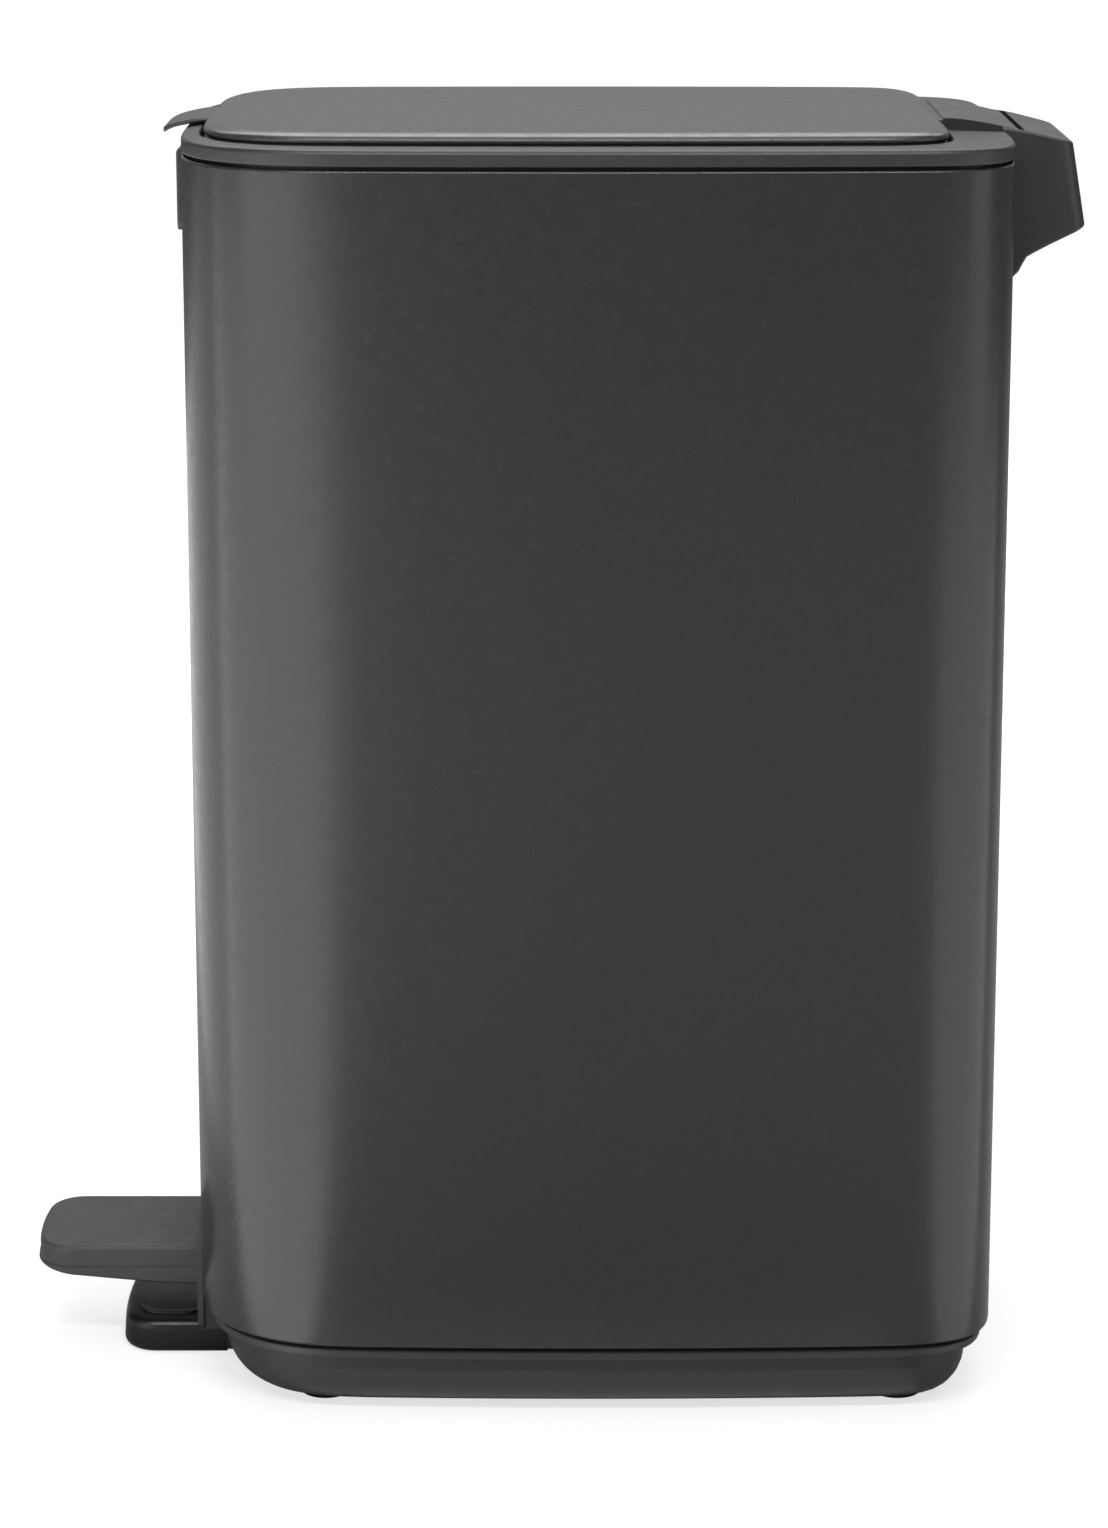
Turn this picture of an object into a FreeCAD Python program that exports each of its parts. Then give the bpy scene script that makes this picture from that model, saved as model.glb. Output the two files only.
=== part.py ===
"""Pedal trash can, about 12 litres, with an inner bucket and a lid that a pedal lifts.

Millimetres, +Z up.  The origin is at the bottom centre of the whole object, and the
pedal points along -Y.  Every sub-part is drawn about the middle of the outer wall's
plan and then moved by body_y, so that the pedal and the rear grip share the length.
"""
import FreeCAD, Part
import Sketcher
import math
import os

os.makedirs("parts", exist_ok=True)
doc = FreeCAD.newDocument("pedal_trash_can")

SIZES = {
    # outer wall of folded sheet
    "body_y": 15.25, "body_half": 83.5, "body_front": -125.0, "body_back": 125.0,
    "shell_low": 26.4, "shell_high": 389.8, "sheet": 0.8,
    "corner_front": 40.0, "corner_back": 22.0, "side_arc": 2113.0, "front_arc": 1744.0,
    # base tray
    "base_low": 1.5, "base_inset": 7.3, "base_round": 15.0, "base_floor": 4.0, "base_wall": 2.5,
    "lip_low": 21.6, "lip_high": 24.6, "lip_inset": 2.4, "spigot_high": 38.0, "fit_gap": 0.2,
    "pad_radius": 8.5, "pad_x": 53.0, "pad_front": -84.0, "pad_rear": 96.0, "pad_sunk": 1.0,
    # top ring
    "ring_spigot_low": 379.0, "ring_low": 390.9, "ring_high": 396.3, "ring_edge": 1.3,
    "ledge_high": 385.0, "ledge_half": 70.5, "ledge_front": -111.5, "ledge_back": 88.5,
    "ledge_corner": 30.0, "ledge_corner_back": 10.0,
    "opening_half": 75.75, "opening_front": -119.0, "opening_back": 106.3,
    "opening_corner": 36.0, "opening_corner_back": 13.0, "lid_gap": 1.0,
    # lid
    "lid_low": 391.5, "lid_high": 400.0, "lid_round": 3.2, "liner_low": 396.7, "liner_back": 93.0,
    "liner_inset": 1.2, "liner_round": 2.0,
    "tab_half": 16.5, "tab_low": 396.8, "tab_high": 398.6, "tab_tip": -131.6, "tab_tip_low": 393.6,
    # hinge and crank
    "hinge_y": 121.0, "hinge_z": 391.5, "pin_radius": 2.0, "run_gap": 0.05, "pin_half": 40.0,
    "bridge_half": 28.4, "barrel_radius": 4.2, "swing_radius": 9.3,
    "crank_y": 107.11, "crank_z": 379.85, "crank_slack": 0.6, "cheek_gap": 4.6, "cheek": 2.0,
    # push rod
    "rod_y": 105.5, "rod_radius": 2.0, "rod_low": 15.5, "rod_high": 375.0, "head_half": 4.2,
    "head_front": 98.2, "head_back": 111.8, "head_rise": 6.0, "slot_front": 100.4, "slot_back": 109.6,
    "channel_half": 9.0, "channel_front": 99.0, "channel_low": 46.0, "channel_high": 368.0,
    # pedal lever
    "pivot_y": -62.0, "pivot_z": 12.0, "axle_radius": 3.0, "axle_half": 24.0, "lever_half": 12.0,
    "lever_wall": 2.0, "bush_radius": 4.6, "block_near": 14.0, "block_far": 22.0,
    "lever_pin_radius": 2.5, "lever_end": 110.8,
    # pedal
    "pedal_half": 23.3, "pedal_tip": -180.0, "pedal_root": -113.0, "pedal_high": 35.7,
    "pedal_split": 28.6, "pedal_low": 21.8, "pedal_corner": 9.0, "pedal_skin": 2.0,
    # front foot and arch round the pedal
    "foot_half": 25.5, "foot_front": -152.4, "foot_high": 10.6, "foot_pad_high": 11.4,
    "arch_half": 29.0, "arch_inner": 26.5, "arch_sleeve": 27.8, "arch_low": 9.5, "arch_high": 47.0,
    "arch_face": -126.7,
    # rear grip
    "grip_half": 30.0, "grip_low": 350.4, "grip_wall": 2.4, "grip_front_high": 130.3,
    "grip_back": 149.5, "grip_shelf": 380.0, "boss_x": 24.4, "boss_z": 371.0, "boss_radius": 3.4,
    # badge
    "badge_half": 26.0, "badge_low": 365.0, "badge_high": 390.3, "badge_proud": 1.7,
    # bucket and its bail
    "bucket_half": 69.5, "bucket_front": -110.5, "bucket_back": 87.5, "bucket_low": 46.0,
    "bucket_wall": 1.6, "bucket_round": 9.0, "bucket_corner": 29.0, "bucket_corner_back": 12.0,
    "rim_half": 73.4, "rim_front": -113.4, "rim_back": 92.0, "rim_high": 387.0,
    "bail_y": -10.0, "bail_z": 376.0, "bail_radius": 1.9, "bail_x": 63.5, "bail_front": -93.0,
    "bail_corner": 24.0, "bail_grip_half": 36.0, "bail_grip_radius": 5.0,
}


class Size:
    """A length together with the sheet expression that gives it."""

    def __init__(self, value, text=None):
        self.value = float(value)
        self.text = text or repr(float(value))

    def __add__(self, other):
        other = as_size(other)
        return Size(self.value + other.value, f"({self.text} + {other.text})")

    def __sub__(self, other):
        other = as_size(other)
        return Size(self.value - other.value, f"({self.text} - {other.text})")

    def __mul__(self, factor):
        return Size(self.value * factor, f"({self.text} * {factor})")

    def __neg__(self):
        return Size(-self.value, f"(0 - {self.text})")


def as_size(thing):
    return thing if isinstance(thing, Size) else Size(thing)


def make_sheet():
    """Write every driving size to the spreadsheet and return the sizes by name."""
    sheet = doc.addObject("Spreadsheet::Sheet", "sizes")
    found = {}
    for row, (name, value) in enumerate(SIZES.items(), start=1):
        sheet.set(f"A{row}", name)
        sheet.set(f"B{row}", str(value))
        sheet.setAlias(f"B{row}", name)
        found[name] = Size(value, f"sizes.{name}")
    doc.recompute()
    return found


S = make_sheet()


def bind(thing, path, size):
    thing.setExpression(path, as_size(size).text)


# ---------------------------------------------------------------- primitives

def block(name, x, y, z):
    """A box from three (low, high) pairs."""
    box = doc.addObject("Part::Box", name)
    for side, axis, (low, high) in zip(("Length", "Width", "Height"), "xyz", (x, y, z)):
        bind(box, side, as_size(high) - low)
        bind(box, f"Placement.Base.{axis}", low)
    return box


def bar(name, axis, radius, start, length):
    """A cylinder along X, Y or Z that starts at the point start."""
    turn = {"x": ((0, 1, 0), 90), "y": ((1, 0, 0), -90), "z": ((0, 0, 1), 0)}[axis]
    rod = doc.addObject("Part::Cylinder", name)
    rod.Placement.Rotation = FreeCAD.Rotation(FreeCAD.Vector(*turn[0]), turn[1])
    bind(rod, "Radius", radius)
    bind(rod, "Height", length)
    for letter, place in zip("xyz", start):
        bind(rod, f"Placement.Base.{letter}", place)
    return rod


def bar_across(name, radius, y, z, half):
    """A cylinder along X that is centred on the middle of the can."""
    return bar(name, "x", radius, (-as_size(half), y, z), as_size(half) * 2)


def tube_across(name, outer, inner, y, z, half):
    hole = bar_across(name + "_hole", inner, y, z, as_size(half) + 1)
    return cut(name, bar_across(name + "_solid", outer, y, z, half), hole)


def join(name, *pieces):
    if len(pieces) == 1:
        return pieces[0]
    fused = doc.addObject("Part::MultiFuse", name)
    fused.Shapes = list(pieces)
    return fused


def cut(name, base, *tools):
    """base less all the tools."""
    carved = doc.addObject("Part::Cut", name)
    carved.Base = base
    carved.Tool = join(name + "_tools", *tools)
    return carved


def group(name, *pieces):
    """Separate solids in one node."""
    cluster = doc.addObject("Part::Compound", name)
    cluster.Links = list(pieces)
    return cluster


def both_sides(make, name, x_low, x_high, y, z):
    """The same box on the left and on the right."""
    right = make(name + "_right", (x_low, x_high), y, z)
    left = make(name + "_left", (-as_size(x_high), -as_size(x_low)), y, z)
    return right, left


# ---------------------------------------------------------------- bodies and sketches

def new_body(name):
    return doc.addObject("PartDesign::Body", name)


def new_sketch(body, name, plane, level=0):
    """A sketch on one of the body's origin planes, moved out along its normal by level."""
    sketch = body.newObject("Sketcher::SketchObject", f"{body.Name}_{name}")
    home = [face for face in body.Origin.OriginFeatures if face.Role == plane][0]
    sketch.AttachmentSupport = [(home, "")]
    sketch.MapMode = "FlatFace"
    bind(sketch, "AttachmentOffset.Base.z", level)
    return sketch


def fix(sketch, kind, name, size, *where):
    """A driving dimension bound to the sheet."""
    size = as_size(size)
    sketch.addConstraint(Sketcher.Constraint(kind, *where, size.value))
    sketch.renameConstraint(sketch.ConstraintCount - 1, name)
    bind(sketch, f"Constraints.{name}", size)


def polygon(body, name, plane, corners, level=0):
    """A closed outline of straight edges with each corner tied to the sheet."""
    sketch = new_sketch(body, name, plane, level)
    corners = [(as_size(across), as_size(up)) for across, up in corners]
    spots = [FreeCAD.Vector(across.value, up.value, 0) for across, up in corners]
    count = len(spots)
    for i in range(count):
        sketch.addGeometry(Part.LineSegment(spots[i], spots[(i + 1) % count]))
    for i in range(count):
        sketch.addConstraint(Sketcher.Constraint("Coincident", i, 2, (i + 1) % count, 1))
    for i, (across, up) in enumerate(corners):
        fix(sketch, "DistanceX", f"across{i}", across, -1, 1, i, 1)
        fix(sketch, "DistanceY", f"up{i}", up, -1, 1, i, 1)
    return sketch


def rectangle(body, name, plane, across, up, level=0):
    (left, right), (low, high) = across, up
    return polygon(body, name, plane, [(left, low), (right, low), (right, high), (left, high)], level)


class Plan:
    """A rounded plan with bowed sides: its sizes, which an inset makes smaller all round."""

    def __init__(self, half, front, back, corner_front, corner_back, middle=0):
        self.half, self.front, self.back = as_size(half), as_size(front), as_size(back)
        self.corner_front, self.corner_back = as_size(corner_front), as_size(corner_back)
        self.middle = as_size(middle)
        self.side_arc, self.front_arc = S["side_arc"], S["front_arc"]

    def inset(self, depth):
        depth = as_size(depth)
        inner = Plan(self.half - depth, self.front + depth, self.back - depth,
                     self.corner_front - depth, self.corner_back - depth, self.middle)
        inner.side_arc = self.side_arc - depth
        inner.front_arc = self.front_arc - depth
        return inner


def arc(centre, radius, start, end):
    circle = Part.Circle(FreeCAD.Vector(*centre, 0), FreeCAD.Vector(0, 0, 1), radius)
    return Part.ArcOfCircle(circle, start, end)


def angle(centre, spot):
    return math.atan2(spot[1] - centre[1], spot[0] - centre[0])


def beyond(centre, through, radius):
    """The point of a circle that lies on the line from its centre through another point."""
    turn = angle(centre, through)
    return centre[0] + radius * math.cos(turn), centre[1] + radius * math.sin(turn)


def corner_centre(side, side_reach, front, front_reach):
    """Where the circles about two centres meet, on the right and towards the front."""
    gap = math.hypot(front[0] - side[0], front[1] - side[1])
    along = (side_reach ** 2 - front_reach ** 2 + gap ** 2) / (2 * gap)
    off = math.sqrt(side_reach ** 2 - along ** 2)
    ux, uy = (front[0] - side[0]) / gap, (front[1] - side[1]) / gap
    return side[0] + along * ux + off * uy, side[1] + along * uy - off * ux


def plan_sketch(body, name, plan, level=0):
    """The plan as seven arcs and a straight back, all tangent, with bound radii and centres."""
    sketch = new_sketch(body, name, "XY_Plane", level)
    side_arc, front_arc = plan.side_arc.value, plan.front_arc.value
    near, far = plan.corner_front.value, plan.corner_back.value
    side = (plan.half.value - side_arc, plan.middle.value)
    front = (0.0, plan.front.value + front_arc)
    corner = corner_centre(side, side_arc - near, front, front_arc - near)
    rear_y = plan.back.value - far
    rear = (side[0] + math.sqrt((side_arc - far) ** 2 - (rear_y - side[1]) ** 2), rear_y)
    turns = [angle(front, corner), angle(side, corner), angle(side, rear), math.pi / 2]
    flip = math.pi
    sketch.addGeometry(arc(front, front_arc, -flip - turns[0], turns[0]))
    sketch.addGeometry(arc(corner, near, turns[0], turns[1]))
    sketch.addGeometry(arc(side, side_arc, turns[1], turns[2]))
    sketch.addGeometry(arc(rear, far, turns[2], turns[3]))
    right = FreeCAD.Vector(rear[0], plan.back.value, 0)
    left = FreeCAD.Vector(-rear[0], plan.back.value, 0)
    sketch.addGeometry(Part.LineSegment(right, left))
    sketch.addGeometry(arc((-rear[0], rear[1]), far, turns[3], flip - turns[2]))
    sketch.addGeometry(arc((-side[0], side[1]), side_arc, flip - turns[2], flip - turns[1]))
    sketch.addGeometry(arc((-corner[0], corner[1]), near, flip - turns[1], flip - turns[0]))
    for i in range(8):
        sketch.addConstraint(Sketcher.Constraint("Tangent", i, 2, (i + 1) % 8, 1))
    radii = (plan.front_arc, plan.corner_front, plan.side_arc, plan.corner_back, None,
             plan.corner_back, plan.side_arc, plan.corner_front)
    for i, radius in enumerate(radii):
        if radius is not None:
            fix(sketch, "Radius", f"radius{i}", radius, i)
    fix(sketch, "DistanceX", "front_across", 0, -1, 1, 0, 3)
    fix(sketch, "DistanceY", "front_up", plan.front + plan.front_arc, -1, 1, 0, 3)
    fix(sketch, "DistanceX", "right_across", plan.half - plan.side_arc, -1, 1, 2, 3)
    fix(sketch, "DistanceY", "right_up", plan.middle, -1, 1, 2, 3)
    fix(sketch, "DistanceX", "left_across", plan.side_arc - plan.half, -1, 1, 6, 3)
    fix(sketch, "DistanceY", "left_up", plan.middle, -1, 1, 6, 3)
    fix(sketch, "DistanceY", "back_up", plan.back, -1, 1, 4, 1)
    sketch.addConstraint(Sketcher.Constraint("Horizontal", 4))
    return sketch


def pad(body, sketch, length, middle=False):
    made = body.newObject("PartDesign::Pad", sketch.Name + "_pad")
    made.Profile = sketch
    bind(made, "Length", length)
    if middle:
        made.SideType = "Symmetric"
    sketch.Visibility = False
    doc.recompute()
    return made


def pocket(body, sketch, length, middle=False, upwards=False):
    before = body.Shape.Volume
    made = body.newObject("PartDesign::Pocket", sketch.Name + "_pocket")
    made.Profile = sketch
    bind(made, "Length", length)
    made.Reversed = upwards
    if middle:
        made.SideType = "Symmetric"
    doc.recompute()
    if body.Shape.Volume > before - 1e-3:
        raise RuntimeError(f"{sketch.Name} cuts nothing")
    return made


def edges_where(shape, wanted):
    return [f"Edge{i}" for i, edge in enumerate(shape.Edges, start=1) if wanted(edge)]


def soften(body, radius, wanted):
    """Round the tip's edges for which wanted is true."""
    tip = body.Tip
    made = body.newObject("PartDesign::Fillet", f"{body.Name}_round{len(body.Group)}")
    made.Base = (tip, edges_where(tip.Shape, wanted))
    bind(made, "Radius", radius)
    doc.recompute()
    return made


def at_height(height):
    """An edge that lies flat at this height."""
    level = as_size(height).value
    return lambda edge: abs(edge.BoundBox.ZMin - level) < 1e-3 and abs(edge.BoundBox.ZMax - level) < 1e-3


def upright_at(y):
    """A vertical edge at this place along Y."""
    place = as_size(y).value
    return lambda edge: (edge.BoundBox.ZLength > 1 and edge.BoundBox.XLength < 1e-3
                         and edge.BoundBox.YLength < 1e-3 and abs(edge.BoundBox.YMin - place) < 1e-2)


def prism(name, plan, low, high, round_low=None, round_high=None):
    """A solid with a rounded plan, and its top or bottom edge rounded if asked."""
    body = new_body(name)
    pad(body, plan_sketch(body, "plan", plan, low), as_size(high) - low)
    if round_low is not None:
        soften(body, round_low, at_height(low))
    if round_high is not None:
        soften(body, round_high, at_height(high))
    return body


def side_pad(name, corners, half):
    """A side profile in Y and Z made into a solid that is centred across X."""
    body = new_body(name)
    pad(body, polygon(body, "profile", "YZ_Plane", corners), as_size(half) * 2, middle=True)
    return body


# ---------------------------------------------------------------- plans

BODY = Plan(S["body_half"], S["body_front"], S["body_back"], S["corner_front"], S["corner_back"])
OPENING = Plan(S["opening_half"], S["opening_front"], S["opening_back"],
               S["opening_corner"], S["opening_corner_back"], -6.5)
LEDGE = Plan(S["ledge_half"], S["ledge_front"], S["ledge_back"],
             S["ledge_corner"], S["ledge_corner_back"], -11.5)
LID = OPENING.inset(S["lid_gap"])
RIM = Plan(S["rim_half"], S["rim_front"], S["rim_back"], S["ledge_corner"] + 4, S["bucket_corner_back"], -11.5)
BUCKET = Plan(S["bucket_half"], S["bucket_front"], S["bucket_back"],
              S["bucket_corner"], S["bucket_corner_back"], -11.5)


# ---------------------------------------------------------------- the outer can

def make_body_shell():
    """The folded wall, with notches for the pedal arch and the hinge well and two screw holes."""
    wall = prism("shell_wall", BODY, S["shell_low"], S["shell_high"])
    inner = plan_sketch(wall, "inner", BODY.inset(S["sheet"]), S["shell_low"])
    pocket(wall, inner, S["shell_high"] - S["shell_low"], upwards=True)
    side = S["arch_sleeve"] + 0.15
    arch = block("shell_arch", (-side, side), (S["body_front"] - 1, -112), (20, S["arch_high"] - 1.05))
    well_half = S["bridge_half"] + 0.9
    well = block("shell_well", (-well_half, well_half), (118, S["body_back"] + 1), (S["grip_shelf"] + 1.2, 395))
    holes = [bar("shell_hole" + side_name, "y", 1.9, (x, 120, S["boss_z"]), 8)
             for side_name, x in (("_right", S["boss_x"]), ("_left", -S["boss_x"]))]
    return cut("body_shell", wall, arch, well, *holes)


def make_base_pan():
    """The moulded tray under the wall: round bottom edge, lip, spigot and pedal slot."""
    tray = prism("pan_tray", BODY.inset(S["base_inset"]), S["base_low"], S["lip_high"], round_low=S["base_round"])
    lip = prism("pan_lip", BODY.inset(S["lip_inset"]), S["lip_low"], S["lip_high"])
    spigot_plan = BODY.inset(S["sheet"] + S["fit_gap"])
    spigot = prism("pan_spigot", spigot_plan, S["lip_high"], S["spigot_high"])
    front = block("pan_front", (-S["foot_half"], S["foot_half"]),
                  (S["body_front"] + S["base_inset"], -100), (S["base_low"], S["arch_low"]))
    inside = prism("pan_inside", BODY.inset(S["base_inset"] + S["base_wall"]), S["base_floor"],
                   S["spigot_high"] + 1, round_low=S["base_round"] - S["base_wall"])
    side = S["arch_sleeve"] + 0.15
    slot = block("pan_slot", (-side, side), (S["body_front"] - 1, -112), (S["arch_low"], S["spigot_high"] + 1))
    dips = [bar(f"pan_dip{i}", "z", S["pad_radius"] + 0.1, (x, y, 0), S["base_low"] + S["pad_sunk"])
            for i, (x, y) in enumerate(pad_places())]
    foot_holes = [bar(f"pan_foot_hole{i}", "y", 1.6, (x, -119, 6.6), 5) for i, x in enumerate((-17, 17))]
    head_rooms = [bar(f"pan_head_room{i}", "y", 2.8, (x, -115.2, 6.6), 12) for i, x in enumerate((-17, 17))]
    block_holes = [bar(f"pan_block_hole{i}", "z", 1.7, (x, y, 0), 6) for i, (x, y) in enumerate(screw_places())]
    solid = join("pan_solid", tray, lip, spigot, front)
    return cut("base_pan", solid, inside, slot, *dips, *foot_holes, *head_rooms, *block_holes)


def pad_places():
    return [(x, y) for x in (-S["pad_x"], S["pad_x"]) for y in (S["pad_front"], S["pad_rear"])]


def screw_places():
    middle = (S["block_near"] + S["block_far"]) * 0.5
    return [(x, S["pivot_y"] + along) for x in (-middle, middle) for along in (-7, 7)]


def make_base_feet():
    """Four rubber pads, each sunk a little way into the tray."""
    pads = [bar(f"base_foot{i}", "z", S["pad_radius"], (x, y, 0), S["base_low"] + S["pad_sunk"])
            for i, (x, y) in enumerate(pad_places())]
    return group("base_feet", *pads)


def make_top_ring():
    """The moulded ring round the lid, with a ledge for the bucket and a well for the hinge."""
    rim = prism("ring_rim", BODY.inset(0.1), S["ring_low"], S["ring_high"], round_high=S["ring_edge"])
    spigot = prism("ring_spigot", BODY.inset(S["sheet"] + S["fit_gap"]), S["ring_spigot_low"], S["ring_low"])
    opening = prism("ring_opening", OPENING, S["ledge_high"], S["ring_high"] + 1)
    throat = prism("ring_throat", LEDGE, S["ring_spigot_low"] - 1, S["ledge_high"] + 1)
    well_half = S["bridge_half"] + 0.6
    well = block("ring_well", (-well_half, well_half), (104, 126), (S["ring_spigot_low"] + 2.5, 398))
    shaft_well = block("ring_crank_well", (-11, 11), (86, 116), (S["ring_spigot_low"] - 1, 398))
    bore = bar_across("ring_bore", S["pin_radius"], S["hinge_y"], S["hinge_z"], S["pin_half"])
    return cut("top_ring", join("ring_solid", rim, spigot), opening, throat, well, shaft_well, bore)


def make_hinge_pin():
    return group("hinge_pin", bar_across("hinge_bar", S["pin_radius"], S["hinge_y"], S["hinge_z"], S["pin_half"]))


def make_lid_buffers():
    """Two soft stops on the ring's ledge, under the front edge of the lid."""
    return group("lid_buffers", *both_sides(block, "buffer", 24, 36, (-118.6, -115.6), (S["ledge_high"], 391.2)))


def make_rear_grip():
    """A hood behind the hinge: hollow and open below, so that fingers go in from underneath."""
    top, back = 395.6, S["grip_back"]
    outline = [(125.05, S["grip_low"]), (132.9, 357.3), (138.1, 360.5), (back, 366.6), (145.2, 392.3),
               (S["grip_front_high"], top), (S["grip_front_high"], S["grip_shelf"]), (125.05, S["grip_shelf"])]
    hood = side_pad("grip_hood", outline, S["grip_half"])
    soften(hood, 4.5, lambda edge: abs(edge.BoundBox.XLength) < 1e-3 and edge.BoundBox.YMin > 145
           and edge.BoundBox.ZLength > 20)
    wall = S["grip_wall"]
    inside = [(124, 340), (S["grip_back"] - wall, 340), (S["grip_back"] - wall, 366.6), (142.9, 390.4),
              (S["grip_front_high"] + wall, 392.9), (S["grip_front_high"] + wall, S["grip_shelf"] - wall),
              (124, S["grip_shelf"] - wall)]
    hollow = side_pad("grip_hollow", inside, S["grip_half"] - wall)
    bosses = [bar("grip_boss" + word, "y", S["boss_radius"], (x, 125.05, S["boss_z"]), 15)
              for word, x in (("_right", S["boss_x"]), ("_left", -S["boss_x"]))]
    holes = [bar("grip_hole" + word, "y", 1.5, (x, 124, S["boss_z"]), 13)
             for word, x in (("_right", S["boss_x"]), ("_left", -S["boss_x"]))]
    cheeks = both_sides(block, "grip_cheek", S["bridge_half"] + 0.4, S["grip_half"],
                        (125.05, S["grip_front_high"] + 0.1), (S["grip_shelf"] - 0.1, 395.4))
    shell = cut("grip_shell", hood, hollow)
    return cut("rear_grip", join("grip_solid", shell, *cheeks, *bosses), *holes)


def screw(name, axis, radius, start, length, head_radius, head):
    """A shank with a pan head at its start."""
    shank = bar(name + "_shank", axis, radius, start, length)
    cap = bar(name + "_cap", axis, head_radius, start, head)
    return join(name, shank, cap)


def make_grip_screws():
    """Two screws from inside the wall into the hood's bosses."""
    screws = [screw(f"grip_screw{i}", "y", 1.48, (x, 121.9, S["boss_z"]), 13, 3.2, 2.25)
              for i, x in enumerate((S["boss_x"], -S["boss_x"]))]
    return group("grip_screws", *screws)


def make_badge_plate():
    """A blank plate that lies on the front of the wall and hooks over its top edge."""
    face = S["body_front"] - S["badge_proud"]
    plate = new_body("badge_plate")
    outline = rectangle(plate, "face", "XZ_Plane", (-S["badge_half"], S["badge_half"]),
                        (S["badge_low"], S["badge_high"]), 125.02)
    pad(plate, outline, S["badge_proud"])
    soften(plate, 2.5, lambda edge: edge.BoundBox.YLength > 1 and edge.BoundBox.ZMax < 366)
    soften(plate, 0.6, lambda edge: edge.BoundBox.YMax < face.value + 0.01)
    return plate


# ---------------------------------------------------------------- pedal arch and front foot

def make_pedal_bezel():
    """An arch round the pedal: a flange in front of the wall and a sleeve through it."""
    low, high = S["arch_low"], S["arch_high"]
    flange = new_body("arch_flange")
    pad(flange, rectangle(flange, "face", "XZ_Plane", (-S["arch_half"], S["arch_half"]), (low, high), 125.05),
        -S["arch_face"] - 125.05)
    soften(flange, 6, lambda edge: edge.BoundBox.YLength > 1 and edge.BoundBox.ZMin > high.value - 0.1)
    sleeve = block("arch_tube", (-S["arch_sleeve"], S["arch_sleeve"]), (-125.05, -112.2), (low, high - 1.2))
    opening = block("arch_opening", (-S["arch_inner"], S["arch_inner"]), (-128, -110), (low - 1, high - 2.6))
    return cut("pedal_bezel", join("arch_solid", flange, sleeve), opening)


def make_front_foot():
    """A block in front of the tray that stops the can from tipping when the pedal is pressed."""
    foot = new_body("foot_block")
    back = S["body_front"] + S["base_inset"] - 0.05
    pad(foot, rectangle(foot, "plan", "XY_Plane", (-S["foot_half"], S["foot_half"]), (S["foot_front"], back)),
        S["foot_high"])
    soften(foot, 10, upright_at(S["foot_front"]))
    soften(foot, 1.2, lambda edge: at_height(S["foot_high"])(edge) and edge.BoundBox.YMin < back.value - 0.1)
    holes = [bar(f"foot_hole{i}", "y", 1.38, (x, -127, 6.6), 10) for i, x in enumerate((-17, 17))]
    return cut("front_foot", foot, *holes)


def make_foot_pad():
    pad_body = new_body("foot_pad")
    outline = rectangle(pad_body, "plan", "XY_Plane", (-18, 18), (S["foot_front"] + 4.5, -124), S["foot_high"])
    pad(pad_body, outline, S["foot_pad_high"] - S["foot_high"])
    soften(pad_body, 8, lambda edge: edge.BoundBox.ZLength > 0.5)
    return pad_body


def make_foot_screws():
    screws = []
    for i, x in enumerate((-17, 17)):
        shank = bar(f"foot_screw_shank{i}", "y", 1.35, (x, -126.5, 6.6), 11.5)
        head = bar(f"foot_screw_head{i}", "y", 2.4, (x, -115.15, 6.6), 1.8)
        screws.append(join(f"foot_screw{i}", shank, head))
    return group("foot_screws", *screws)


# ---------------------------------------------------------------- lid

def make_lid_panel():
    """A pressed sheet cover, notched at the back for the hinge bridge and in front for the tab."""
    outer = prism("lid_outer", LID, S["lid_low"], S["lid_high"], round_high=S["lid_round"])
    inner = prism("lid_inner", LID.inset(S["sheet"]), S["lid_low"] - 1, S["lid_high"] - S["sheet"],
                  round_high=S["lid_round"] - S["sheet"])
    bridge_half = S["bridge_half"] + 0.15
    rear = block("lid_rear_notch", (-bridge_half, bridge_half), (103, 106), (S["lid_low"] - 1, 399.15))
    tab_half = S["tab_half"] + 0.3
    front = block("lid_tab_notch", (-tab_half, tab_half), (-119, -115), (S["lid_low"] - 1, S["tab_high"] + 0.2))
    return cut("lid_panel", outer, inner, rear, front)


def make_lid_liner():
    """A moulded plate under the sheet, with the finger tab at its front."""
    plan = LID.inset(S["liner_inset"])
    plan.back = S["liner_back"]
    top = S["lid_high"] - S["sheet"] - 0.1
    tray = prism("liner_plate", plan, S["liner_low"], top, round_high=S["liner_round"])
    tip, under = S["tab_tip"], S["tab_low"]
    profile = [(-114, under), (-128.6, under), (tip + 1.8, S["tab_tip_low"]), (tip, S["tab_tip_low"]),
               (tip, S["tab_tip_low"] + 2.2), (-129.2, S["tab_high"]), (-114, S["tab_high"])]
    tab = side_pad("liner_tab", profile, S["tab_half"])
    soften(tab, 1.2, lambda edge: edge.BoundBox.XLength < 1e-3 and edge.BoundBox.YMax < tip.value + 2
           and edge.BoundBox.ZLength > 1 and edge.BoundBox.YLength < 0.1)
    return join("lid_liner", tray, tab)


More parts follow.
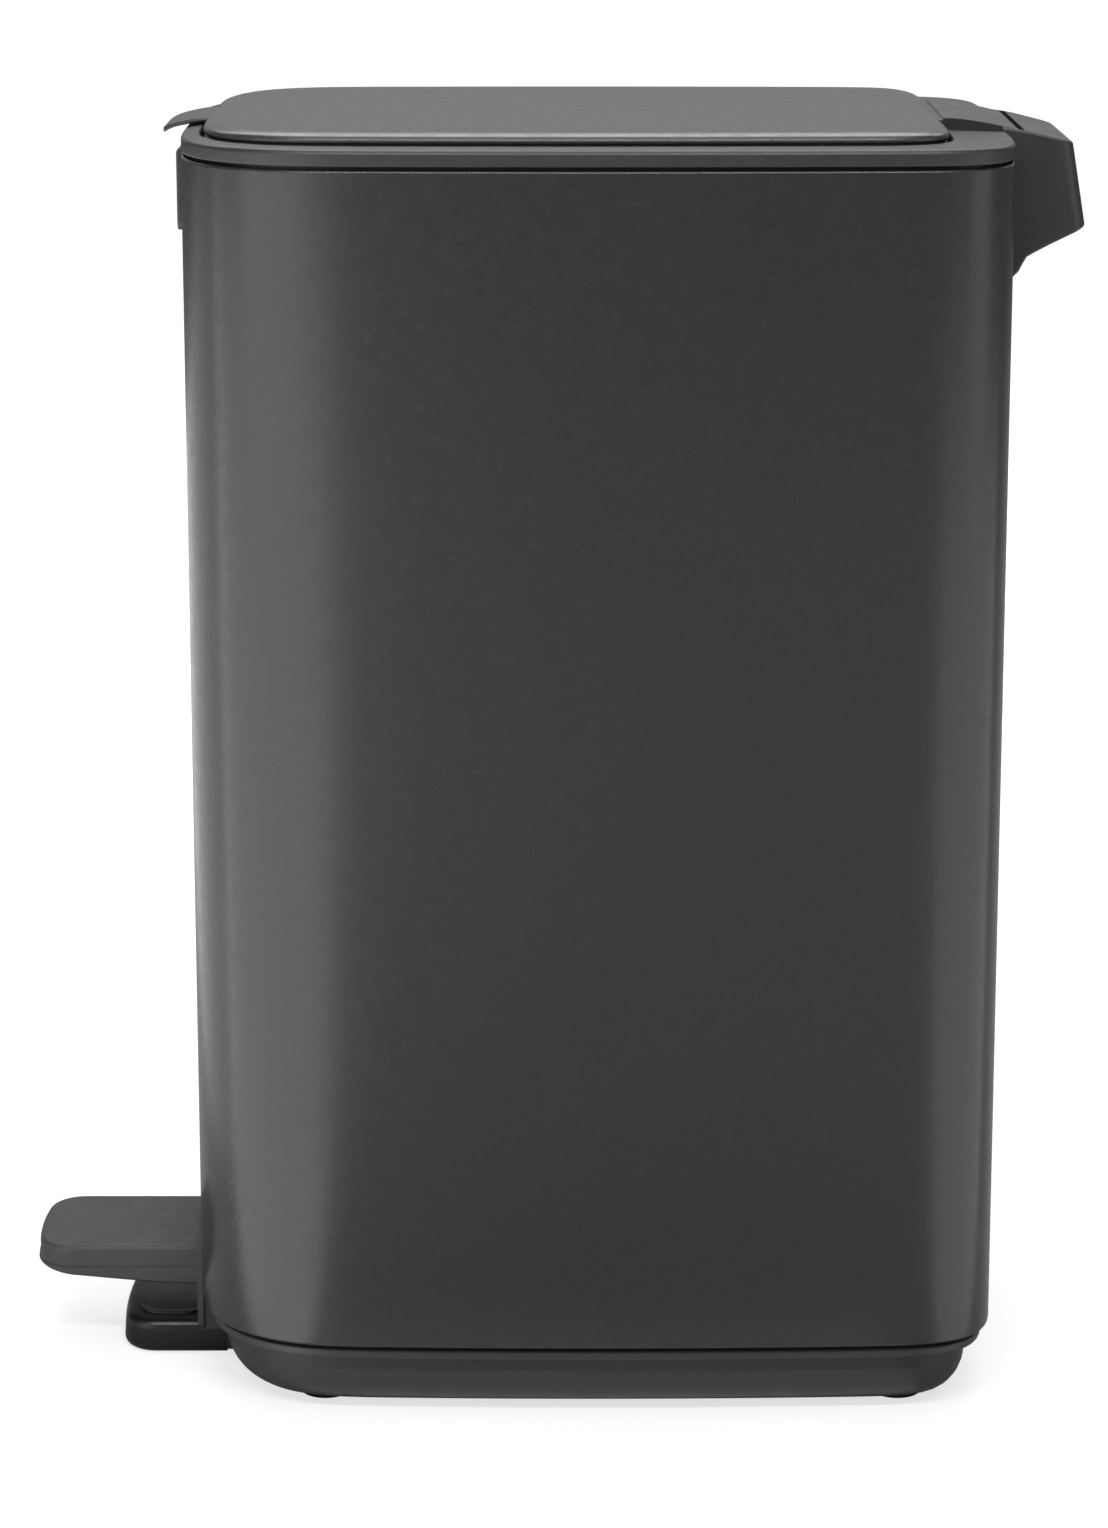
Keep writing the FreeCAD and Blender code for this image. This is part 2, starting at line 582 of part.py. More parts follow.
def make_hinge_bridge():
    """The moulded bridge from the lid's back edge to the barrel on the hinge pin."""
    profile = [(94, 396.2), (94, 399.05), (105.4, 399.05), (105.5, 399.7), (112, 399.2), (120, 398.0),
               (127.2, 396.3), (128.6, 395.0), (128.9, 392.2), (126.0, 390.4), (121.0, 387.3),
               (116.8, 391.0), (106.8, 394.6), (104.5, 396.2)]
    arm = side_pad("bridge_arm", profile, S["bridge_half"])
    barrel = bar_across("bridge_barrel", S["barrel_radius"], S["hinge_y"], S["hinge_z"], S["bridge_half"])
    bore = bar_across("bridge_bore", S["pin_radius"] + S["run_gap"], S["hinge_y"], S["hinge_z"], 31)
    holes = [bar(f"bridge_hole{i}", "z", 1.7, (x, 99, 393), 7) for i, x in enumerate((-20, 20))]
    return cut("hinge_bridge", join("bridge_solid", arm, barrel), bore, *holes)


def make_lid_screws():
    """Two screws from below that hold the bridge to studs under the sheet."""
    screws = [screw(f"lid_screw{i}", "z", 1.5, (x, 99, 394.2), 4.9, 3.0, 1.95) for i, x in enumerate((-20, 20))]
    return group("lid_screws", *screws)


def make_crank_bracket():
    """A steel stirrup under the bridge whose two cheeks carry the crank pin."""
    far = S["cheek_gap"] + S["cheek"]
    plate = block("crank_plate", (-far, far), (94.5, 104), (394.6, 396.15))
    cheeks = []
    for word, low, high in (("right", S["cheek_gap"], far), ("left", -far, -S["cheek_gap"])):
        cheek = new_body("crank_cheek_" + word)
        sketch = polygon(cheek, "profile", "YZ_Plane",
                         [(94.5, 395.5), (103.2, S["crank_z"] - 4), (110.8, S["crank_z"] - 4),
                          (111.4, S["crank_z"] + 4), (106.5, 389), (104, 395.5)], low)
        pad(cheek, sketch, S["cheek"])
        cheeks.append(cheek)
    hole = bar_across("crank_hole", S["pin_radius"], S["crank_y"], S["crank_z"], 8)
    return cut("crank_bracket", join("crank_solid", plate, *cheeks), hole)


def make_crank_pin():
    return group("crank_pin", bar_across("crank_bar", S["pin_radius"], S["crank_y"], S["crank_z"], 7.6))


# ---------------------------------------------------------------- push rod

def make_push_rod():
    wire = bar("rod_bar", "z", S["rod_radius"], (0, S["rod_y"], S["rod_low"]), S["rod_high"] - S["rod_low"])
    return group("push_rod", wire)


def make_rod_head():
    """A block on top of the rod with a slot that the crank pin runs along."""
    half, rise, slack = S["head_half"], S["head_rise"], S["crank_slack"] + S["pin_radius"]
    solid = block("head_solid", (-half, half), (S["head_front"], S["head_back"]),
                  (S["crank_z"] - rise, S["crank_z"] + rise))
    slot = block("head_slot", (-5, 5), (S["slot_front"], S["slot_back"]),
                 (S["crank_z"] - slack, S["crank_z"] + slack))
    socket = bar("head_socket", "z", S["rod_radius"], (0, S["rod_y"], 370), S["rod_high"] - 370)
    return cut("rod_head", solid, slot, socket)


def make_rod_foot():
    """A block under the rod with a slot for the pin at the lever's rear end."""
    reach = S["lever_pin_radius"] + 0.4
    solid = block("foot_solid", (-6, 6), (99.6, 110.6), (8.2, 18.4))
    slot = block("foot_slot", (-7, 7), (S["rod_y"] - 4.6, S["rod_y"] + 3.2),
                 (S["pivot_z"] - reach, S["pivot_z"] + reach))
    socket = bar("foot_socket", "z", S["rod_radius"], (0, S["rod_y"], S["rod_low"]), 5)
    return cut("rod_foot", solid, slot, socket)


def make_rod_channel():
    """A folded cover against the back of the wall that keeps rubbish off the rod."""
    half, front, back = S["channel_half"], S["channel_front"], 124.1
    low, high = S["channel_low"], S["channel_high"]
    solid = block("channel_solid", (-half, half), (front, back), (low, high))
    inside = block("channel_inside", (-half + 1, half - 1), (front + 1, back + 1), (low - 1, high + 1))
    flanges = both_sides(block, "channel_flange", half - 1, half + 7, (back - 1, back), (low, high))
    return cut("rod_channel", join("channel_all", solid, *flanges), inside)


def make_rod_guides():
    """Two guide blocks inside the cover that the rod slides through."""
    guides = []
    for i, low in enumerate((62, 346)):
        solid = block(f"guide_solid{i}", (-S["channel_half"] + 1.05, S["channel_half"] - 1.05),
                      (S["channel_front"] + 1.05, 124.05), (low, low + 8))
        bore = bar(f"guide_bore{i}", "z", S["rod_radius"] + S["run_gap"], (0, S["rod_y"], low - 1), 10)
        guides.append(cut(f"rod_guide{i}", solid, bore))
    return group("rod_guides", *guides)


# ---------------------------------------------------------------- pedal and lever

PEDAL_SCREWS = ((-130, 23.5), (-154, 26.0))     # place along Y and the height of each head's seat


def make_pedal_lever():
    """A folded steel lever: web on top, two flanges, an eye at the pivot and a forked rear end."""
    end, half, wall = S["lever_end"], S["lever_half"], S["lever_wall"]
    outline = [(end, 8.6), (-52, 6.4), (-72, 6.4), (-84, 10.0), (-104, 25.2), (-168, 29.8), (-168, 32.4),
               (-104, 32.4), (-86, 18.5), (end, 16.5)]
    solid = side_pad("lever_solid", outline, half)
    inside = [(end + 1, 0), (-52, 0), (-72, 0), (-169, 0), (-169, 30.4), (-103, 30.4), (-85, 16.4), (end + 1, 14.5)]
    hollow = side_pad("lever_hollow", inside, half - wall)
    fork = block("lever_fork", (-half + wall, half - wall), (94, end + 1), (0, 20))
    eye = bar_across("lever_eye", S["bush_radius"], S["pivot_y"], S["pivot_z"], 14)
    pin_hole = bar_across("lever_pin_hole", S["lever_pin_radius"], S["rod_y"], S["pivot_z"], 14)
    holes = [bar(f"lever_hole{i}", "z", 1.8, (0, y, 20), 20) for i, y in enumerate((-130, -154))]
    return cut("pedal_lever", solid, hollow, fork, eye, pin_hole, *holes)


def make_lever_bush():
    return tube_across("lever_bush", S["bush_radius"], S["axle_radius"] + S["run_gap"],
                       S["pivot_y"], S["pivot_z"], S["lever_half"] + 1.5)


def make_lever_pin():
    return group("lever_pin", bar_across("lever_pin_bar", S["lever_pin_radius"], S["rod_y"], S["pivot_z"], 13))


def make_pivot_blocks():
    """Two blocks on the tray's floor that hold the axle's ends."""
    y, high = S["pivot_y"], S["pivot_z"] + 7
    halves = both_sides(block, "pivot_side", S["block_near"], S["block_far"], (y - 11, y + 11),
                        (S["base_floor"], high))
    bore = bar_across("pivot_bore", S["axle_radius"], y, S["pivot_z"], 30)
    holes = [bar(f"pivot_hole{i}", "z", 1.48, (x, place, 3), 7) for i, (x, place) in enumerate(screw_places())]
    return cut("pivot_blocks", join("pivot_pair", *halves), bore, *holes)


def make_pivot_screws():
    screws = []
    for i, (x, y) in enumerate(screw_places()):
        screws.append(bar(f"pivot_screw{i}", "z", 1.45, (x, y, S["base_low"] + 0.1), 7))
    return group("pivot_screws", *screws)


def make_pedal_axle():
    return group("pedal_axle", bar_across("axle_bar", S["axle_radius"], S["pivot_y"], S["pivot_z"], S["axle_half"]))


def make_axle_clips():
    """A spring clip on each end of the axle, outside its block."""
    clips = []
    for word, low in (("right", S["block_far"] + 0.1), ("left", -S["block_far"] - 1.1)):
        disc = bar(f"clip_disc_{word}", "x", 5.2, (low, S["pivot_y"], S["pivot_z"]), 1.0)
        hole = bar(f"clip_hole_{word}", "x", S["axle_radius"], (low - 1, S["pivot_y"], S["pivot_z"]), 3)
        clips.append(cut(f"axle_clip_{word}", disc, hole))
    return group("axle_clips", *clips)


def pedal_shell(name, corners, hollow_corners):
    """Half of the pedal's casing, cut from a tongue with rounded tip corners, and what hollows it."""
    side = side_pad(name + "_side", corners, S["pedal_half"])
    tongue = new_body(name + "_tongue")
    outline = rectangle(tongue, "plan", "XY_Plane", (-S["pedal_half"], S["pedal_half"]),
                        (S["pedal_tip"], S["pedal_root"]), 15)
    pad(tongue, outline, 25)
    soften(tongue, S["pedal_corner"], upright_at(S["pedal_tip"]))
    shell = doc.addObject("Part::MultiCommon", name + "_solid")
    shell.Shapes = [side, tongue]
    hollow = side_pad(name + "_hollow", hollow_corners, S["pedal_half"] - S["pedal_skin"])
    return shell, hollow


def make_pedal_top_shell():
    root, tip, high, split, skin = (S[key] for key in
                                    ("pedal_root", "pedal_tip", "pedal_high", "pedal_split", "pedal_skin"))
    shell, hollow = pedal_shell(
        "pedal_top", [(root, split), (tip, split), (tip, high), (root, high)],
        [(root + 1, split - 1), (tip + 9, split - 1), (tip + 9, high - skin), (root + 1, high - skin)])
    bosses = [bar(f"top_boss{i}", "z", 3.2, (0, y, 32.6), high - 33.6) for i, y in enumerate((-130, -154))]
    holes = [bar(f"top_hole{i}", "z", 1.38, (0, y, 28), 6.2) for i, y in enumerate((-130, -154))]
    return cut("pedal_top_shell", join("top_solid", cut("top_skin", shell, hollow), *bosses), *holes)


def make_pedal_bottom_shell():
    root, tip, split, low, skin = (S[key] for key in
                                   ("pedal_root", "pedal_tip", "pedal_split", "pedal_low", "pedal_skin"))
    split = split - 0.15
    shell, hollow = pedal_shell(
        "pedal_bottom", [(root, low), (-126, low), (tip, 27.6), (tip, split), (root, split)],
        [(root + 1, low + skin), (-126, low + skin), (tip + 9, 28.2), (tip + 9, split + 1), (root + 1, split + 1)])
    holes = [bar(f"bottom_hole{i}", "z", 1.8, (0, y, 18), 12) for i, (y, top) in enumerate(PEDAL_SCREWS)]
    dips = [bar(f"bottom_dip{i}", "z", 3.3, (0, y, 18), top - 18) for i, (y, top) in enumerate(PEDAL_SCREWS)]
    return cut("pedal_bottom_shell", cut("bottom_skin", shell, hollow), *holes, *dips)


def make_pedal_screws():
    """Two screws up through the lower casing and the lever into the upper casing."""
    head = 1.1
    screws = [screw(f"pedal_screw{i}", "z", 1.35, (0, y, top - head - 0.05), 33.4 - top, 3.0, head)
              for i, (y, top) in enumerate(PEDAL_SCREWS)]
    return group("pedal_screws", *screws)


# ---------------------------------------------------------------- bucket

def make_inner_bucket():
    """A moulded bucket that hangs by its rim on the ring's ledge, with lugs under the bail."""
    low, wall, curve = S["bucket_low"], S["bucket_wall"], S["bucket_round"]
    outside = prism("bucket_outside", BUCKET, low, S["ledge_high"] + 0.5, round_low=curve)
    inside = prism("bucket_inside", BUCKET.inset(wall), low + wall, S["rim_high"] + 1, round_low=curve - wall)
    rim = prism("bucket_rim", RIM, S["ledge_high"] + 0.05, S["rim_high"], round_high=0.8)
    rests = both_sides(block, "bail_rest", 59, 70, (-80, -76), (S["bail_z"] - 5, S["bail_z"] - S["bail_radius"] - 0.1))
    clip = prism("bail_rest_clip", BUCKET.inset(1), 360, 384)
    lugs = doc.addObject("Part::MultiCommon", "bucket_lugs")
    lugs.Shapes = [join("bail_rests", *rests), clip]
    pivot = bar_across("bucket_pivot_holes", S["bail_radius"] + S["run_gap"], S["bail_y"], S["bail_z"], 72)
    tub = cut("bucket_tub", join("bucket_solid", outside, rim), inside)
    return cut("inner_bucket", join("bucket_all", tub, lugs), pivot)


def make_bucket_bail():
    """A wire handle whose ends sit in the bucket's walls and whose arms lie just below its rim."""
    radius, x, y, z = (S[key].value for key in ("bail_radius", "bail_x", "bail_y", "bail_z"))
    front, turn, out, bend = S["bail_front"].value, S["bail_corner"].value, 69.6, 3.0
    half_turn = math.sqrt(0.5)

    def spot(across, along):
        return FreeCAD.Vector(across, along, z)

    def mirrored(edges):
        return [edge.mirror(FreeCAD.Vector(0, 0, 0), FreeCAD.Vector(1, 0, 0)) for edge in edges]

    elbow = Part.Arc(spot(x + bend, y), spot(x + bend - bend * half_turn, y - bend + bend * half_turn),
                     spot(x, y - bend)).toShape()
    corner = Part.Arc(spot(x, front + turn), spot(x - turn + turn * half_turn, front + turn - turn * half_turn),
                      spot(x - turn, front)).toShape()
    half = [Part.LineSegment(spot(out, y), spot(x + bend, y)).toShape(), elbow,
            Part.LineSegment(spot(x, y - bend), spot(x, front + turn)).toShape(), corner]
    middle = Part.LineSegment(spot(x - turn, front), spot(-x + turn, front)).toShape()
    path = Part.Wire(Part.__sortEdges__(half + [middle] + mirrored(half)))
    ring = Part.Wire(Part.Circle(spot(out, y), FreeCAD.Vector(1, 0, 0), radius).toShape())
    bail = doc.addObject("Part::Feature", "bucket_bail")
    bail.Shape = path.makePipeShell([ring], True, False)
    return bail


def make_bail_grip():
    return tube_across("bail_grip", S["bail_grip_radius"], S["bail_radius"], S["bail_front"], S["bail_z"],
                       S["bail_grip_half"])


# ---------------------------------------------------------------- build, check and write

MAKERS = (
    make_body_shell, make_base_pan, make_base_feet, make_top_ring, make_hinge_pin, make_lid_buffers,
    make_rear_grip, make_grip_screws, make_badge_plate, make_pedal_bezel, make_front_foot,
    make_foot_pad, make_foot_screws, make_lid_panel, make_lid_liner, make_hinge_bridge,
    make_lid_screws, make_crank_bracket, make_crank_pin, make_push_rod, make_rod_head, make_rod_foot,
    make_rod_channel, make_rod_guides, make_pedal_lever, make_lever_bush, make_lever_pin,
    make_pivot_blocks, make_pivot_screws, make_pedal_axle, make_axle_clips, make_pedal_top_shell,
    make_pedal_bottom_shell, make_pedal_screws, make_inner_bucket, make_bucket_bail, make_bail_grip,
)


def build():
    """Make every sub-part, move it into the object's frame and name it."""
    parts = []
    for maker in MAKERS:
        part = maker()
        part.Label = maker.__name__.removeprefix("make_")
        bind(part, "Placement.Base.y", S["body_y"])
        parts.append(part)
    return parts


def check(parts):
    for thing in doc.Objects:
        if "Invalid" in thing.State or "Error" in thing.State:
            raise RuntimeError(f"{thing.Name} failed: {thing.State}")
    for part in parts:
        if part.Shape.isNull() or not part.Shape.isValid() or not part.Shape.Solids:
            raise RuntimeError(f"{part.Label} has no valid solid")


PARTS = build()
doc.recompute()
check(PARTS)
for sub_part in PARTS:
    sub_part.Shape.exportStep(f"parts/{sub_part.Label}.step")
    box = sub_part.Shape.BoundBox
    print(f"{sub_part.Label:20s} {len(sub_part.Shape.Solids)} solids  {sub_part.Shape.Volume:10.0f} mm3  "
          f"x {box.XMin:.1f} {box.XMax:.1f}  y {box.YMin:.1f} {box.YMax:.1f}  z {box.ZMin:.1f} {box.ZMax:.1f}")
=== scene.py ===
"""The look of the pedal trash can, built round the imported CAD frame.

Shapes are worked out in millimetres about the middle of the outer wall's plan, as the
CAD model is, and place() turns them into metres in the row frame.
"""
import math

import bmesh
import bpy
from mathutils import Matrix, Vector


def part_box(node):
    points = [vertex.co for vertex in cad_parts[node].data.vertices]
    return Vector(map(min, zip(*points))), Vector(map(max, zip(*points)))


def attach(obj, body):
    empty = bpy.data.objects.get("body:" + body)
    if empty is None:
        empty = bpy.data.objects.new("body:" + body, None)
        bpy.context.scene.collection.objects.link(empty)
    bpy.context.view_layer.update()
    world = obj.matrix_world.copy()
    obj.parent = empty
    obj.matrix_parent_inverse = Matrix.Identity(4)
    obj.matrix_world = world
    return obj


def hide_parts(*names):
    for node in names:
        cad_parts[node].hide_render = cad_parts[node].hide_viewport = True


MM = 0.001

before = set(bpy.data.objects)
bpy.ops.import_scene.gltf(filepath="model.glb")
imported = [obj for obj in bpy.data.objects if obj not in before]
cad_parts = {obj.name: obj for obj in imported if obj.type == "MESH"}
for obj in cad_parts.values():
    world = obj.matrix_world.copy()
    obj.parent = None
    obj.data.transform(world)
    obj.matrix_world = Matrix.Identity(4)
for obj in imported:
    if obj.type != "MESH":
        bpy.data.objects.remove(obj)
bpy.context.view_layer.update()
WALL_LOW, WALL_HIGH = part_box("body_shell")
MIDDLE_Y = (WALL_LOW.y + WALL_HIGH.y) / 2


def place(x, y, z):
    """A point in metres in the row frame."""
    return Vector((x * MM, y * MM + MIDDLE_Y, z * MM))


def reach(node):
    """The low and high corners of a CAD node, in millimetres about the middle of the wall."""
    low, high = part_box(node)
    shift = Vector((0, MIDDLE_Y, 0))
    return (low - shift) / MM, (high - shift) / MM


# ---------------------------------------------------------------- plans

class Plan:
    """A rounded plan with bowed sides and front, tangent all round, and a straight back."""

    FRONT_STEPS, CORNER_STEPS, SIDE_STEPS, REAR_STEPS, BACK_STEPS = 30, 24, 60, 16, 30
    POINTS, PASSES = 184, 13    # together they ease each corner into its sides over about 15 mm

    def __init__(self, half, front, back, corner_front, corner_back, middle=0.0,
                 side_arc=2113.0, front_arc=1744.0):
        self.half, self.front, self.back = half, front, back
        self.corner_front, self.corner_back = corner_front, corner_back
        self.middle, self.side_arc, self.front_arc = middle, side_arc, front_arc

    def inset(self, depth):
        """The same plan, smaller all round."""
        return Plan(self.half - depth, self.front + depth, self.back - depth,
                    max(self.corner_front - depth, 0.6), max(self.corner_back - depth, 0.6),
                    self.middle, self.side_arc - depth, self.front_arc - depth)

    def outline(self):
        """Points round the plan, from the middle of the front, by the right, and back."""
        near, far = self.corner_front, self.corner_back
        side = (self.half - self.side_arc, self.middle)
        front = (0.0, self.front + self.front_arc)
        corner = meeting(side, self.side_arc - near, front, self.front_arc - near)
        rear_y = self.back - far
        rear = (side[0] + math.sqrt((self.side_arc - far) ** 2 - (rear_y - side[1]) ** 2), rear_y)
        turn_front, turn_side, turn_rear = angle(front, corner), angle(side, corner), angle(side, rear)
        quarter = math.pi / 2
        right = sweep(front, self.front_arc, -quarter, turn_front, self.FRONT_STEPS)
        right += sweep(corner, near, turn_front, turn_side, self.CORNER_STEPS)
        right += sweep(side, self.side_arc, turn_side, turn_rear, self.SIDE_STEPS)
        right += sweep(rear, far, turn_rear, quarter, self.REAR_STEPS)
        right += [(rear[0] * (1 - step / self.BACK_STEPS), self.back) for step in range(self.BACK_STEPS)]
        left = [(-x, y) for x, y in reversed(right[1:])]
        return relax(respace(right + [(0.0, self.back)] + left, self.POINTS), self.PASSES)


def angle(centre, spot):
    return math.atan2(spot[1] - centre[1], spot[0] - centre[0])


def sweep(centre, radius, start, end, steps):
    """Points on an arc, without its last one."""
    turns = [start + (end - start) * step / steps for step in range(steps)]
    return [(centre[0] + radius * math.cos(turn), centre[1] + radius * math.sin(turn)) for turn in turns]


def respace(points, count):
    """The same closed outline with evenly spaced points."""
    steps = [math.dist(points[i], points[(i + 1) % len(points)]) for i in range(len(points))]
    gap = sum(steps) / count
    even, i, before = [], 0, 0.0
    for step in range(count):
        want = step * gap
        while before + steps[i] < want:
            before += steps[i]
            i += 1
        share = (want - before) / steps[i]
        (x0, y0), (x1, y1) = points[i], points[(i + 1) % len(points)]
        even.append((x0 + (x1 - x0) * share, y0 + (y1 - y0) * share))
    return even


def relax(points, passes):
    """Even out how the outline bends, as a drawn corner does."""
    count = len(points)
    for _ in range(passes):
        trios = [(points[i - 1], points[i], points[(i + 1) % count]) for i in range(count)]
        points = [tuple((last[k] + 2 * this[k] + following[k]) / 4 for k in (0, 1))
                  for last, this, following in trios]
    return points


def meeting(side, side_reach, front, front_reach):
    """Where two circles meet, on the right and towards the front."""
    gap = math.hypot(front[0] - side[0], front[1] - side[1])
    along = (side_reach ** 2 - front_reach ** 2 + gap ** 2) / (2 * gap)
    off = math.sqrt(side_reach ** 2 - along ** 2)
    across, up = (front[0] - side[0]) / gap, (front[1] - side[1]) / gap
    return side[0] + along * across + off * up, side[1] + along * up - off * across


def curl(inset, z, radius, start, end, steps=5):
    """(inset, z) pairs on a round about (inset, z): 0 degrees is outwards and 90 is up."""
    turns = [math.radians(start + (end - start) * step / steps) for step in range(steps + 1)]
    return [(inset - radius * math.cos(turn), z + radius * math.sin(turn)) for turn in turns]


# ---------------------------------------------------------------- meshes

def new_object(name, vertices, faces):
    mesh = bpy.data.meshes.new(name)
    mesh.from_pydata([tuple(vertex) for vertex in vertices], [], faces)
    made = bpy.data.objects.new(name, mesh)
    bpy.context.scene.collection.objects.link(made)
    return made


def edit(made, work):
    """Run work on the object's mesh and turn its faces outwards."""
    shape = bmesh.new()
    shape.from_mesh(made.data)
    work(shape)
    bmesh.ops.recalc_face_normals(shape, faces=shape.faces)
    shape.to_mesh(made.data)
    shape.free()
    return made


def smooth(made, degrees=32.0):
    """Smooth shading that stays sharp at hard edges and flat on the large faces."""
    made.data.polygons.foreach_set("use_smooth", [True] * len(made.data.polygons))
    made.data.set_sharp_from_angle(angle=math.radians(degrees))
    weighted = made.modifiers.new("face_weighted", "WEIGHTED_NORMAL")
    weighted.keep_sharp = True
    weighted.weight = 50
    return made


def loft(name, rows, ring=False):
    """A skin over rows of points with equal counts: a ring, or closed by a cap at each end."""
    count = len(rows[0])
    faces = []
    spans = len(rows) if ring else len(rows) - 1
    for i in range(spans):
        low, high = i * count, ((i + 1) % len(rows)) * count
        steps = [(j, (j + 1) % count) for j in range(count)]
        faces += [(low + this, low + following, high + following, high + this) for this, following in steps]
    if not ring:
        faces.append(tuple(reversed(range(count))))
        faces.append(tuple(range((len(rows) - 1) * count, len(rows) * count)))
    made = new_object(name, [spot for row in rows for spot in row], faces)
    return edit(made, lambda shape: None)


def plan_rows(plan, profile):
    """Rows of a plan for (inset, z) pairs."""
    return [[place(x, y, z) for x, y in plan.inset(inset).outline()] for inset, z in profile]


def prism(name, near_end, far_end):
    """A solid between two outlines with the same count of points."""
    count = len(near_end)
    faces = [tuple(range(count)), tuple(reversed(range(count, 2 * count)))]
    faces += [(i, (i + 1) % count, (i + 1) % count + count, i + count) for i in range(count)]
    return edit(new_object(name, near_end + far_end, faces), lambda shape: None)


def slab(name, profile, half, bevel=0.8, segments=3, least=25.0):
    """A side profile in Y and Z, made solid across X, with its edges eased."""
    left, right = [[place(x, y, z) for y, z in profile] for x in (-half, half)]
    return ease(prism(name, left, right), bevel, segments, least)


def plate(name, outline, front, back, bevel=0.5, segments=3, least=25.0):
    """An outline in X and Z, made solid from front to back along Y, with its edges eased."""
    near, far = [[place(x, y, z) for x, z in outline] for y in (front, back)]
    return ease(prism(name, near, far), bevel, segments, least)


def ease(made, width, segments=3, least=25.0, chosen=None):
    """Round the edges that turn by more than least degrees, or those that chosen picks."""
    if width <= 0:
        return made
    limit = math.radians(least)

    def work(shape):
        bmesh.ops.recalc_face_normals(shape, faces=shape.faces)
        edges = [edge for edge in shape.edges if len(edge.link_faces) == 2
                 and edge.calc_face_angle(0.0) > limit and (chosen is None or chosen(edge))]
        bmesh.ops.bevel(shape, geom=edges, offset=width * MM, offset_type="OFFSET", segments=segments,
                        profile=0.5, affect="EDGES", clamp_overlap=True)

    return edit(made, work)


def box_tool(name, x, y, z):
    """A plain box to cut with."""
    vertices = [place(a, b, c) for c in z for b in y for a in x]
    faces = [(0, 2, 3, 1), (4, 5, 7, 6), (0, 1, 5, 4), (2, 6, 7, 3), (0, 4, 6, 2), (1, 3, 7, 5)]
    return new_object(name, vertices, faces)


def combine(made, operation, tools):
    """Cut the tools from the object or add them to it, and keep the result as its mesh."""
    for tool in tools:
        modifier = made.modifiers.new("combine", "BOOLEAN")
        modifier.operation = operation
        modifier.solver = "EXACT"
        modifier.object = tool
        bpy.context.view_layer.update()
        evaluated = made.evaluated_get(bpy.context.evaluated_depsgraph_get())
        result = bpy.data.meshes.new_from_object(evaluated)
        made.modifiers.remove(modifier)
        made.data = result
        made.data.name = made.name
        bpy.data.objects.remove(tool)
    return made


def carve(made, *tools):
    return combine(made, "DIFFERENCE", tools)


def merge(made, *tools):
    return combine(made, "UNION", tools)


def lathe(name, start, axis, profile, steps=48):
    """A closed profile of (radius, distance) pairs turned about an axis from the point start."""
    along = {"x": Vector((1, 0, 0)), "y": Vector((0, 1, 0)), "z": Vector((0, 0, 1))}[axis]
    across = along.orthogonal().normalized()
    other = along.cross(across)
    base = place(*start)
    turns = [2 * math.pi * step / steps for step in range(steps)]
    spokes = [across * math.cos(turn) + other * math.sin(turn) for turn in turns]
    return loft(name, [[base + along * distance * MM + spoke * radius * MM for spoke in spokes]
                       for radius, distance in profile])


def round_rectangle(low, high, corners, steps=6):
    """An outline in two directions with its own radius at each corner, from the low corner round."""
    (x0, y0), (x1, y1) = low, high
    centres = [(x0, y0, 1, 1, 180), (x1, y0, -1, 1, 270), (x1, y1, -1, -1, 0), (x0, y1, 1, -1, 90)]
    points = []
    for (x, y, right, up, start), radius in zip(centres, corners):
        if radius <= 0:
            points.append((x, y))
            continue
        centre = (x + right * radius, y + up * radius)
        points += sweep(centre, radius, math.radians(start), math.radians(start + 90), steps)
        last = math.radians(start + 90)
        points.append((centre[0] + radius * math.cos(last), centre[1] + radius * math.sin(last)))
    return points


def finish_piece(made, body, slot, material, *nodes, degrees=32.0):
    """Shade a piece, give it its material, say what it rides on, and hide the CAD nodes it takes the place
    of.
    """
    smooth(made, degrees)
    made.data.materials.clear()
    made.data.materials.append(material)
    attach(made, body)
    if nodes:
        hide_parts(*nodes)
    return made


# ---------------------------------------------------------------- materials

